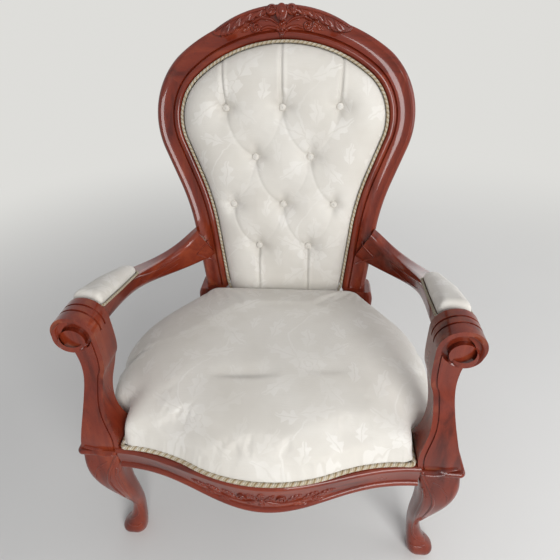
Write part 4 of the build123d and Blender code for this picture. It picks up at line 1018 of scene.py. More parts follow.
@dataclass
class ArmShape:
    """Line of an arm and the seat of its pad, in millimetres, for the right arm."""

    back: BackShape
    root: Point2 = (130.0, -9.0)
    stile_width: float = 59.0
    root_depth: float = 22.0
    scroll: Point3 = (311.0, -191.0, 580.0)
    bow: float = 71.0
    bow_shape: float = 0.6
    sag: float = 52.0
    front_width: float = 62.0
    height: float = 36.0
    flare: float = 48.0
    flare_shape: int = 6
    pad_length: float = 200.0
    pad_sink: Point2 = (2.0, 1.0)
    pad_margin: float = 4.0
    pad_swell: float = 4.0
    pad_corner: float = 7.0
    pad_bend: float = 120.0
    rear_width: float = 34.0
    piping: float = 5.0

    def station(self, share: float) -> tuple[Vector, float]:
        """Middle and height of the arm at a share of its run.

        Args:
            share: 0 at the back, 1 at the scroll.

        Returns:
            The middle in millimetres and the height.
        """
        one_step = 1000.0
        half = self.back.half(0.0, self.root[0], one_step)[-1][0]
        place = (half + self.stile_width - self.root_depth, *self.root)
        root = Vector(self.back.to_chair(np.array([place]))[0] / MM)
        swing = math.sin(math.pi * share**self.bow_shape)
        sway = Vector((self.bow * swing, 0, -self.sag * swing * (1 - share)))
        middle = root + (Vector(self.scroll) - root) * share + sway
        return middle, self.height + self.flare * (1 - share) ** self.flare_shape

    def pad_plane(self) -> Matrix:
        """Frame of the pad's seat: x across, y back along the arm and z up out of it.

        Returns:
            The frame in millimetres.
        """
        front, front_height = self.station(1.0)
        rear, rear_height = self.station(0.5)
        start = Vector((0, self.scroll[1], front.z + front_height / 2 - self.pad_sink[0]))
        run = (Vector((0, rear.y, rear.z + rear_height / 2 - self.pad_sink[1])) - start).normalized()
        across = Vector((1, 0, 0))
        up = across.cross(run)
        frame = Matrix((across, run, up)).transposed().to_4x4()
        frame.translation = start
        return frame

    def pad_line(self, inset: float, spacing: float) -> Rows:
        """Outline of the pad on its seat.

        Args:
            inset: How far it is moved inward.
            spacing: Greatest step.

        Returns:
            Rows of two coordinates in the frame of the seat.
        """
        places = [self.station(share)[0].x for share in (1.0, 0.75, 0.5)]
        front_half = self.front_width / 2 - self.pad_margin - inset
        rear_half = self.rear_width / 2 - inset
        mid_half = (front_half + rear_half) / 2 + self.pad_swell
        front = inset + self.piping + 1.0
        rear = self.pad_length - inset
        corners = [
            (places[0] - front_half, front),
            (places[0] + front_half, front),
            (places[1] + mid_half, self.pad_length / 2),
            (places[2] + rear_half, rear),
            (places[2] - rear_half, rear),
            (places[1] - mid_half, self.pad_length / 2),
        ]
        corner = max(self.pad_corner - 0.4 * inset, 2.0)
        end = 0.6 * rear_half
        radii = [corner, corner, self.pad_bend, end, end, self.pad_bend]
        return np.array(rounded_loop(corners, radii, spacing))


@dataclass
class TwistedCord:
    """Cord of three strands laid round each other, in millimetres."""

    radius: float
    pitch: float
    sides: int = 24
    strands: int = 3
    groove: float = 0.24
    roundness: float = 0.7

    def build(
        self, name: str, path: Rows, up: Rows, finishes: Finishes, closed: bool
    ) -> Piece:
        """Lay the cord along a path.

        Args:
            name: Name of the piece.
            path: Points in metres, close together.
            up: Direction square to the path.
            finishes: The chair's finishes.
            closed: Whether the path runs round to its start.

        Returns:
            The new piece.
        """
        ahead = np.roll(path, -1, 0) - np.roll(path, 1, 0)
        if not closed:
            ahead[0] = path[1] - path[0]
            ahead[-1] = path[-1] - path[-2]
        ahead /= np.linalg.norm(ahead, axis=1)[:, None]
        across = np.cross(ahead, up)
        across /= np.linalg.norm(across, axis=1)[:, None]
        rise = np.cross(across, ahead)
        steps = np.linalg.norm(np.diff(path, axis=0, append=path[:1]), axis=1)
        run = np.concatenate([[0], np.cumsum(steps)])
        turns = run[:-1] / (self.pitch * MM)
        if closed:
            lay = run[-1] / (self.pitch * MM)
            turns *= round(lay) / lay
        angle = np.linspace(0, 2 * math.pi, self.sides, endpoint=False)
        lobe = 1 - self.groove + self.groove * np.abs(np.sin(self.strands * angle / 2)) ** self.roundness
        phase = angle[None, :] + 2 * math.pi * turns[:, None]
        reach = self.radius * MM * lobe[None, :]
        points = (
            path[:, None, :]
            + (reach * np.cos(phase))[..., None] * across[:, None, :]
            + (reach * np.sin(phase))[..., None] * rise[:, None, :]
        )
        rows = len(path)
        faces = grid_faces(rows, self.sides, True)
        if closed:
            last = (rows - 1) * self.sides
            pairs = [(c, (c + 1) % self.sides) for c in range(self.sides)]
            faces += [(last + here, last + after, after, here) for here, after in pairs]
        piece = new_piece(name, points.reshape(-1, 3), faces, finishes.cords)
        per_strand = self.sides // self.strands
        index = [(face % self.sides) // per_strand for face in range(len(faces))]
        piece.data.polygons.foreach_set("material_index", index)
        return piece


@dataclass
class Plumper:
    """Turns a soft solid into a stuffed pad by simulating its cover.

    The voxels of its mesh and the greatest move of a point, its cap, are in metres.
    """

    voxel: float
    pressure: float
    cap: float
    frames: int = 16
    mass: float = 0.3
    stiffness: float = 12.0
    bending: float = 1.5

    def copy(self, source: Piece, name: str, material: Finish) -> Piece:
        """Copy a solid as an evenly meshed piece.

        Args:
            source: Object of the solid.
            name: Name of the new piece.
            material: Its finish.

        Returns:
            The new piece, which stands for the solid.
        """
        draft = add_object(name + "_draft", source.data.copy())
        remesh = draft.modifiers.new("Remesh", "REMESH")
        remesh.mode = "VOXEL"
        remesh.voxel_size = self.voxel
        smooth = draft.modifiers.new("Smooth", "SMOOTH")
        smooth.factor = 0.5
        smooth.iterations = 6
        graph = bpy.context.evaluated_depsgraph_get()
        mesh = bpy.data.meshes.new_from_object(draft.evaluated_get(graph))
        bpy.data.objects.remove(draft)
        mesh.name = name
        mesh.materials.clear()
        mesh.materials.append(material)
        mesh.shade_smooth()
        return add_object(name, mesh)

    def blow(self, piece: Piece, held: Callable[[Rows], Rows]) -> None:
        """Blow the cover up and keep the result in the mesh.

        Args:
            piece: The piece.
            held: Gives how firmly each point is held, from 0 to 1.
        """
        mesh = piece.data
        start = read_points(mesh)
        group = piece.vertex_groups.new(name="held")
        for index, weight in enumerate(held(start)):
            if weight > 0:
                group.add([index], float(weight), "REPLACE")
        cloth = piece.modifiers.new("Cloth", "CLOTH")
        settings = cloth.settings
        settings.quality = 4
        settings.mass = self.mass
        settings.tension_stiffness = self.stiffness
        settings.compression_stiffness = self.stiffness
        settings.bending_stiffness = self.bending
        settings.use_pressure = True
        settings.uniform_pressure_force = self.pressure
        settings.vertex_group_mass = group.name
        settings.effector_weights.gravity = 0.0
        cloth.point_cache.frame_start = 1
        cloth.point_cache.frame_end = self.frames
        scene = bpy.context.scene
        for frame in range(1, self.frames + 1):
            scene.frame_set(frame)
        graph = bpy.context.evaluated_depsgraph_get()
        blown = piece.evaluated_get(graph).to_mesh()
        move = read_points(blown) - start
        piece.evaluated_get(graph).to_mesh_clear()
        length = np.linalg.norm(move, axis=1)[:, None]
        move *= np.minimum(1.0, self.cap / np.maximum(length, 1e-9))
        piece.modifiers.clear()
        piece.vertex_groups.clear()
        mesh.vertices.foreach_set("co", (start + move).ravel())
        mesh.update()
        scene.frame_set(1)


def reshape(piece: Piece, move: Callable[[Rows], Rows]) -> None:
    """Move the points of a piece."""
    piece.data.vertices.foreach_set("co", move(read_points(piece.data)).ravel())
    piece.data.update()


def keep_clear(
    piece: Piece, others: Iterable[Piece], gap: float, reach: float = 0.02
) -> None:
    """Draw the points of a soft piece back out of the solids beside it.

    Args:
        piece: The soft piece.
        others: Objects that it may not enter.
        gap: Clearance to leave.
        reach: How deep a point may lie to be drawn back.
    """
    for other in others:
        tree = surface_tree(other)
        for vertex in piece.data.vertices:
            place, normal, _, _ = tree.find_nearest(vertex.co, reach)
            if place is not None and (vertex.co - place).dot(normal) < gap:
                vertex.co = place + normal * gap


@dataclass
class Wrinkle:
    """A shallow crease in a cover, between two places on it."""

    start: Point2
    end: Point2
    depth: float
    width: float
    bow: float = 0.35
    soft_side: float = 2.6

    def drop(self, x: Rows, y: Rows) -> Rows:
        """How far the crease lowers each place.

        Args:
            x: Places across the cover.
            y: Places up the cover.

        Returns:
            Depths, which run out softly on one side of the crease.
        """
        run = np.subtract(self.end, self.start)
        length = math.hypot(*run)
        run = run / length
        dx, dy = x - self.start[0], y - self.start[1]
        along = (dx * run[0] + dy * run[1]) / length
        off = (dy * run[0] - dx * run[1]) / self.width
        swing = np.sin(np.pi * np.clip(along, 0, 1))
        off = off + self.bow * swing
        groove = np.where(off > 0, hump(off, self.soft_side), hump(off, 1.0))
        return self.depth * swing**0.8 * groove


@dataclass
class Seat:
    """The domed seat with its cord and the cloth under it.

    A run is the place where a change starts and the span over which it takes place.
    """

    shape: SeatShape
    frame: dict
    finishes: Finishes
    cord_radius: float = 4.4
    cord_pitch: float = 12.5
    cord_gap: float = 0.3
    cord_bend: float = 8.0
    foot: float = 354.3
    tack_run: Point2 = (3.0, 9.0)
    rear_run: Point2 = (122.0, 14.0)
    belly: float = 38.0
    belly_press: float = 0.4
    flank_height: float = 84.0
    flank_run: Point2 = (-215.0, 350.0)
    flank_start: Point2 = (130.0, 70.0)
    fullness: Point2 = (17.0, 9.0)
    hug_reach: float = 30.0
    hug_rear: float = -110.0
    hug_inset: float = 1.5
    hug_ease: float = 14.0
    hug_run: Point2 = (-205.0, 90.0)
    ease_reach: float = 84.0
    ease_foot: float = 8.0
    ease_rounds: int = 34
    crease_run: Point2 = (395.0, 20.0)
    lining_cells: int = 60
    lining_sag: float = 4.0
    lining_edge: float = 60.0
    lining_lift: float = 0.6
    wrinkles: tuple[Wrinkle, ...] = (
        Wrinkle((-114.0, -187.0), (24.0, -181.0), 4.4, 8.0),
        Wrinkle((64.0, -171.0), (152.0, -165.0), 1.8, 7.0),
        Wrinkle((-150.0, -60.0), (-60.0, -72.0), 0.9, 8.0),
        Wrinkle((-40.0, 20.0), (60.0, 30.0), 0.8, 9.0),
    )

    def build(self) -> None:
        """Make the cord, the pad over it and the lining."""
        self.pad(self.cord())
        self.lining()

    def pad(self, cord: Piece) -> None:
        """Blow up the seat pad, lay its creases and cover it.

        Args:
            cord: Cord round the foot of the pad.
        """
        nodes = self.frame["nodes"]
        plumper = Plumper(voxel=0.005, pressure=3.5, cap=0.009)
        piece = plumper.copy(nodes["seat_pad"], "seat_cushion", self.finishes.cover)
        plumper.blow(piece, self.held)
        for move in (self.settle, self.hug):
            reshape(piece, move)
        self.ease(piece)
        reshape(piece, self.crease)
        lay_flat(piece, lambda points: points[:, :2], fall=0.425)
        beside = [nodes[name] for name in ("arm_post_left", "arm_post_right", "back_rail", "front_rail")]
        keep_clear(piece, [*beside, cord], gap=0.0004)
        piece.modifiers.new("Subdivision", "SUBSURF").levels = 1
        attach(piece, BODY)
        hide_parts("seat_pad")
        LOG.info("seat_cushion: %d faces", len(piece.data.polygons))

    def held(self, points: Rows) -> Rows:
        """How firmly the cover is held, from 0 to 1: tacked at its foot and pressed by the back."""
        low = 1 - ramp(points[:, 2] / MM - self.foot, *self.tack_run)
        return np.maximum(low, ramp(points[:, 1] / MM, *self.rear_run))

    def settle(self, points: Rows) -> Rows:
        """Lower the belly of the pad onto its cord and fill its sides out over the side rails.

        Args:
            points: Points of the pad.

        Returns:
            The new points.
        """
        x, y, z = (points / MM).T
        h = z - self.foot
        moved = points.copy()
        pressed = h * (self.belly_press + (1 - self.belly_press) * ramp(h, 0.0, self.belly))
        moved[:, 2] = (self.foot + np.where(h < self.belly, pressed, h)) * MM
        flank = np.sin(np.pi * ramp(h, 0.0, self.flank_height))
        run = np.sin(np.pi * ramp(y, *self.flank_run))
        outer = ramp(np.abs(x), *self.flank_start)
        fullness = np.where(x < 0, -self.fullness[0], self.fullness[1])
        moved[:, 0] += fullness * flank * run * outer * MM
        return moved

    def cord_line(self, spacing: float) -> Rows:
        """Line of the cord round the foot of the pad."""
        return self.shape.cord_route(self.cord_radius, self.cord_gap, self.cord_bend, spacing)

    def hug(self, points: Rows) -> Rows:
        """Hold the front and the corners of the pad inside the line of the cord.

        Args:
            points: Points of the pad.

        Returns:
            The new points.
        """
        route = self.cord_line(2.0)
        run = np.gradient(route, axis=0)
        inward = np.column_stack([-run[:, 1], run[:, 0]]) / np.linalg.norm(run, axis=1)[:, None]
        tree = line_tree(route)
        moved = points.copy()
        for index, (x, y, _) in enumerate(points / MM):
            place, number, distance = tree.find((x, y, 0))
            if distance > self.hug_reach or y > self.hug_rear:
                continue
            inside = float(np.dot(np.subtract((x, y), place[:2]), inward[number]))
            least = self.hug_inset - self.hug_ease * ramp(y, *self.hug_run)
            if inside < least:
                moved[index, :2] += inward[number] * (least - inside) * MM
        return moved

    def ease(self, piece: Piece) -> None:
        """Smooth the cover where it is drawn round the posts.

        Args:
            piece: The pad.
        """
        mesh = bmesh.new()
        mesh.from_mesh(piece.data)
        post = Vector((self.shape.post_inner, self.shape.leg_back))
        beside = [
            vertex
            for vertex in mesh.verts
            if vertex.co.z / MM > self.foot + self.ease_foot
            and (Vector((abs(vertex.co.x), vertex.co.y)) / MM - post).length < self.ease_reach
        ]
        axes = {f"use_axis_{axis}": True for axis in "xyz"}
        for _ in range(self.ease_rounds):
            bmesh.ops.smooth_vert(mesh, verts=beside, factor=0.5, **axes)
        mesh.to_mesh(piece.data)
        mesh.free()

    def crease(self, points: Rows) -> Rows:
        """Press the creases into the upper side of the pad.

        Args:
            points: Points of the pad.

        Returns:
            The new points.
        """
        x, y, z = (points / MM).T
        drop = sum(wrinkle.drop(x, y) for wrinkle in self.wrinkles)
        moved = points.copy()
        moved[:, 2] -= ramp(z, *self.crease_run) * drop * MM
        return moved

    def cord(self) -> Piece:
        """Lay the twisted cord round the foot of the seat.

        Returns:
            The cord.
        """
        route = self.cord_line(0.9)
        level = np.full(len(route), self.shape.rail_top + self.cord_radius + self.cord_gap)
        path = np.column_stack([route, level]) * MM
        up = np.array([0.0, 0.0, 1.0])
        cord = TwistedCord(self.cord_radius, self.cord_pitch)
        piece = cord.build("seat_cord", path, up, self.finishes, closed=False)
        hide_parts("seat_piping")
        return piece

    def lining(self) -> None:
        """Hang the lining cloth under the seat, with a slight sag between the rails."""
        low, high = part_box("dust_cover")
        tree = surface_tree(self.frame["nodes"]["dust_cover"])
        count = self.lining_cells
        index = -np.ones((count, count), dtype=int)
        points = []
        for row, y in enumerate(np.linspace(low.y, high.y, count)):
            for column, x in enumerate(np.linspace(low.x, high.x, count)):
                below = Vector((x, y, low.z / 2))
                if tree.ray_cast(below, Vector((0, 0, 1)))[0] is None:
                    continue
                edge = max(min(x - low.x, high.x - x, y - low.y, high.y - y), 0)
                sag = self.lining_sag * (1 - math.exp(-edge / MM / self.lining_edge))
                index[row, column] = len(points)
                points.append((x, y, low.z + (self.lining_lift - sag) * MM))
        faces = kept_cells(index)
        piece = new_piece("lining_cloth", np.array(points), faces, [self.finishes.lining])
        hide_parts("dust_cover")


@dataclass
class Back:
    """The buttoned back pad with its buttons and cord, and the panel that closes the back."""

    shape: BackShape
    frame: dict
    finishes: Finishes
    spacing: float = 2.4
    crown: float = 28.0
    rim: float = -6.0
    edge: float = 7.6
    edge_run: float = 80.0
    foot_run: float = 60.0
    button_seat: float = 7.0
    button_radius: float = 8.0
    button_height: float = 5.8
    button_gathers: int = 9
    button_hold: float = 6.5
    dimple: float = 18.0
    top_pleat: Point2 = (170.0, 5.6)
    top_pleat_lean: float = 0.055
    low_pleat: Point2 = (150.0, 5.4)
    pleat_sides: Point2 = (1.8, 5.0)
    seam_reach: float = 90.0
    seam_depths: Point2 = (1.9, 0.8)
    seam_widths: Point2 = (2.3, 9.0)
    cord_radius: float = 3.5
    cord_pitch: float = 9.8
    cord_gap: float = 0.3
    cord_foot: float = 4.0
    cord_draw: float = 3.5
    panel_foot: float = 386.0
    panel_lap: float = 12.0
    panel_gap: float = 0.3
    panel_crown: float = 2.6
    panel_edge: float = 40.0
    panel_turn: float = 3.5
    turning_in: float = 20.0

    def build(self) -> None:
        """Make the pad, its buttons, cord and outside panel."""
        self.pad()
        self.buttons()
        self.cord()
        self.outside()

    def swell(self, x: Rows, v: Rows, depth: Rows) -> Rows:
        """Height of the pad's face out of the plane of the back.

        Args:
            x: Places across.
            v: Places up the back.
            depth: Distance of each place from the cord.

        Returns:
            Heights in millimetres.
        """
        reach = ramp(depth, 0.0, self.edge_run)
        height = self.rim + (self.crown - self.rim) * (1 - (1 - reach) ** 2.6) ** 0.66
        press = np.zeros_like(x)
        for bx, bv in self.shape.buttons():
            dx, dv = x - bx, v - bv
            r = np.hypot(dx, dv)
            pucker = 1 + 0.22 * np.cos(4 * np.arctan2(dv, dx) + 0.6) * hump(r - 16, 14)
            off = np.maximum(r - self.button_hold, 0) / (self.dimple * pucker)
            press = np.maximum(press, np.exp(-(off**1.1)))
        height = height - press * np.maximum(height - self.button_seat, 0)
        top, low = self.shape.button_rows[0][0], self.shape.button_rows[-1][0]
        for bx, bv in self.shape.buttons():
            if bv == top:
                lean = self.top_pleat_lean * (v - bv) * np.sign(bx)
                height -= self.fold(x - bx - lean, v - bv, *self.top_pleat)
            if bv == low:
                height -= self.fold(x - bx, bv - v, *self.low_pleat)
        for line, fall in self.seams():
            gap = np.hypot(x[:, None] - line[None, :, 0], v[:, None] - line[None, :, 1])
            nearest = gap.min(1)
            fade = 0.5 + 0.5 * np.abs(2 * gap.argmin(1) / (len(line) - 1) - 1)
            sharp, soft = (hump(nearest, width) for width in self.seam_widths)
            height -= fall * fade * (sharp + 0.7 * soft)
        return height

    def fold(self, off: Rows, along: Rows, length: float, depth: float) -> Rows:
        """Depth of a pleat that runs from a button to the edge, sharper on one side.

        Args:
            off: Distance to its right.
            along: Distance from the button.
            length: Its length.
            depth: Its depth at the button.

        Returns:
            Depths in millimetres.
        """
        fade = ramp(along, 0.0, 8.0) * np.clip(1.15 - 0.7 * along / length, 0, 1)
        sharp, soft = (hump(off, width) for width in self.pleat_sides)
        lip = 0.3 * hump(off - 6.0, 4.0)
        return depth * fade * (np.where(off > 0, sharp, soft) - lip)

    def seams(self) -> list[tuple[Rows, float]]:
        """Curved folds from each button to those below it, deeper to the right.

        Returns:
            The line and the depth of each fold.
        """
        places = self.shape.buttons()
        rows = sorted({v for _, v in places}, reverse=True)
        lines = []
        for upper, lower in zip(rows, rows[1:]):
            for a in (p for p in places if p[1] == upper):
                for b in (p for p in places if p[1] == lower and abs(a[0] - p[0]) < self.seam_reach):
                    bend = (a[0] + 0.12 * (b[0] - a[0]), a[1] + 0.7 * (b[1] - a[1]))
                    line = curve_points(a, bend, b, np.linspace(0.07, 0.95, 40)[:, None])
                    lines.append((line, self.seam_depths[0 if b[0] > a[0] else 1]))
        return lines

    def cover_grid(self, foot: float) -> tuple[Rows, Rows, list[Face]]:
        """Even grid over the face of the pad, with its border drawn to the outline.

        Args:
            foot: Height of the foot of the pad.

        Returns:
            Places on the back, their distances from the outline, and faces.
        """
        outline = self.shape.outline(self.edge, foot, 1.0)
        tree = line_tree(outline)
        wide, top = outline.max(0)
        xs = np.linspace(-wide, wide, int(2 * wide / self.spacing) | 1)
        vs = np.linspace(foot, top, int((top - foot) / self.spacing))
        index = -np.ones((len(vs), len(xs)), dtype=int)
        kept: list[Point2] = []
        for row, v in enumerate(vs):
            half = outline[np.abs(outline[:, 1] - v) < 1.2][:, 0].max()
            for column, x in enumerate(xs):
                if abs(x) <= half:
                    index[row, column] = len(kept)
                    kept.append((x, v))
        faces = kept_cells(index)
        edges = (tuple(sorted(pair)) for ring in faces for pair in zip(ring, ring[1:] + ring[:1]))
        uses = Counter(edges)
        places = np.array(kept)
        depth = np.array([tree.find((x, v, 0))[2] for x, v in kept])
        for corner in {corner for edge, count in uses.items() if count == 1 for corner in edge}:
            if places[corner][1] > foot + 0.1:
                places[corner] = tree.find((*places[corner], 0))[0][:2]
                depth[corner] = 0.0
        return places, depth, faces

    def pad(self) -> None:
        """Mesh the face of the pad inside its cord and turn its edge back into the frame."""
        shape = self.shape
        foot = shape.level_foot(self.crown)
        places, depth, faces = self.cover_grid(foot)
        height = self.swell(places[:, 0], places[:, 1], depth)
        ease = self.foot_run
        rise = places[:, 1] - foot
        level = shape.level_foot(height)
        places[:, 1] = np.where(rise < ease, level + rise * (foot + ease - level) / ease, places[:, 1])
        points = shape.to_chair(np.column_stack([places, height]))
        piece = new_piece("back_cushion", points, faces, [self.finishes.cover])
        mesh = bmesh.new()
        mesh.from_mesh(piece.data)
        loose = [vertex for vertex in mesh.verts if not vertex.link_faces]
        bmesh.ops.delete(mesh, geom=loose, context="VERTS")
        border = [edge for edge in mesh.edges if edge.is_boundary]
        turned = bmesh.ops.extrude_edge_only(mesh, edges=border)
        inward = Vector((0, math.cos(shape.tilt), -math.sin(shape.tilt)))
        for item in turned["geom"]:
            if isinstance(item, bmesh.types.BMVert):
                out = shape.from_chair(np.array([item.co]))[0][2]
                item.co += inward * (out - shape.ledge) * MM
        bmesh.ops.recalc_face_normals(mesh, faces=mesh.faces)
        mesh.to_mesh(piece.data)
        mesh.free()
        piece.data.shade_smooth()
        lay_flat(piece, lambda p: shape.from_chair(p)[:, :2] * MM)
        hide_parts("back_pad")

    def buttons(self) -> None:
        """Covered buttons: low domes with the cover gathered under their rims."""
        sides, rings = 28, 9
        points, faces = [], []
        for bx, bv in self.shape.buttons():
            base = len(points)
            for ring in range(rings):
                share = ring / (rings - 1)
                reach = self.button_radius * math.sin(math.pi / 2 * min(1.0, 0.06 + 1.05 * share))
                lift = self.button_height * math.cos(math.pi / 2 * share) ** 0.8 - 0.5
                for side in range(sides):
                    turn = 2 * math.pi * side / sides
                    out = reach * (1 + 0.035 * share**3 * math.cos(self.button_gathers * turn))
                    place = (bx + out * math.cos(turn), bv + out * math.sin(turn))
                    points.append((*place, self.button_seat + lift))
            cap = grid_faces(rings, sides, True)
            faces += [tuple(base + corner for corner in face) for face in cap]
            faces.append(tuple(base + side for side in range(sides)))
        laid = self.shape.to_chair(np.array(points))
        piece = new_piece("cover_buttons", laid, faces, [self.finishes.cover])
        lay_flat(piece, lambda p: self.shape.from_chair(p)[:, :2] * MM + 0.05)
        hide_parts("back_buttons")

    def cord(self) -> None:
        """Lay the twisted cord round the back pad."""
        shape = self.shape
        foot = shape.level_foot(shape.ledge) - self.cord_foot
        line = shape.outline(self.cord_radius + self.cord_gap, foot, 0.8)
        sunk = np.clip((26.0 - line[:, 1]) / 22.0, 0, 1)
        line[:, 0] -= np.sign(line[:, 0]) * self.cord_draw * sunk**2
        lift = np.full(len(line), self.rim + self.cord_radius + self.cord_gap)
        path = shape.to_chair(np.column_stack([line, lift]))
        up = np.array([0.0, -math.cos(shape.tilt), math.sin(shape.tilt)])
        cord = TwistedCord(self.cord_radius, self.cord_pitch)
        piece = cord.build("back_cord", path, up, self.finishes, closed=False)
        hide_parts("back_piping")

    def outside(self) -> None:
        """Stretch the cover over the outside of the back, slightly crowned."""
        shape = self.shape
        foot = (self.panel_foot - shape.foot_z) / math.cos(shape.tilt)
        foot += shape.thickness * math.tan(shape.tilt) + self.panel_gap
        right = np.array(shape.half(self.panel_gap - self.panel_lap, foot, 2.0))
        heights = np.linspace(foot, right[:, 1].max() - 0.2, 110)
        halves = np.interp(heights, right[::-1, 1], right[::-1, 0])
        shares = np.linspace(-1, 1, 61)
        rows = []
        for v, half in zip(heights, halves):
            edge = np.minimum(half * (1 - np.abs(shares)), heights[-1] - v)
            out = -shape.thickness - self.panel_crown * (1 - np.exp(-edge / self.panel_edge))
            line = np.column_stack([half * shares, np.full(len(shares), v), out])
            turned = (0, 0, self.panel_turn)
            rows.append(np.concatenate([line[:1] + turned, line, line[-1:] + turned]))
        columns = len(rows[0])
        faces = grid_faces(len(rows), columns)
        rows = np.concatenate(rows)
        piece = new_piece("outside_cover", shape.to_chair(rows), faces, [self.finishes.cover])
        lay_flat(piece, lambda p: shape.from_chair(p)[:, :2] * MM)
        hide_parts("outside_back")


@dataclass
class Arms:
    """Pads and cords of both arms."""

    shape: ArmShape
    frame: dict
    finishes: Finishes
    hold_run: Point2 = (4.0, 4.0)
    cord_pitch: float = 8.2
    cord_gap: float = 0.3

    def build(self) -> None:
        """Make the pad and the cord of each arm."""
        for side in Side:
            self.pad(side.label)
            self.cord(side)

    def pad(self, name: str) -> None:
        """Blow up one arm pad and cover it.

        Args:
            name: Side of the chair.
        """
        node = self.frame["nodes"][f"arm_pad_{name}"]
        plumper = Plumper(voxel=0.003, pressure=3.0, cap=0.005, frames=14)
        piece = plumper.copy(node, f"arm_cushion_{name}", self.finishes.cover)
        inverse = np.array(self.shape.pad_plane().inverted())

        def seat_height(points: Rows) -> Rows:
            """Height of points above the seat of the pad, in millimetres."""
            return points / MM @ inverse[2, :3] + inverse[2, 3]

        plumper.blow(piece, lambda p: 1 - ramp(seat_height(p), *self.hold_run))
        lay_flat(piece, lambda p: p[:, :2] + 0.04)
        piece.modifiers.new("Subdivision", "SUBSURF").levels = 1
        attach(piece, BODY)
        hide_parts(f"arm_pad_{name}")
        LOG.info("arm_cushion_%s: %d faces", name, len(piece.data.polygons))

    def cord(self, side: Side) -> None:
        """Lay the cord round one arm pad.

        Args:
            side: Side of the chair.
        """
        radius = self.shape.piping / 2
        line = self.shape.pad_line(-radius - self.cord_gap, 0.7)
        frame = self.shape.pad_plane()
        path = np.array([frame @ Vector((x, y, radius + self.cord_gap)) for x, y in line]) * MM
        up = np.array(frame.col[2][:3])
        path[:, 0] *= side.value
        cord = TwistedCord(radius, self.cord_pitch, sides=18)
        piece = cord.build(f"arm_cord_{side.label}", path, up, self.finishes, closed=True)
        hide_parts(f"arm_pad_piping_{side.label}")


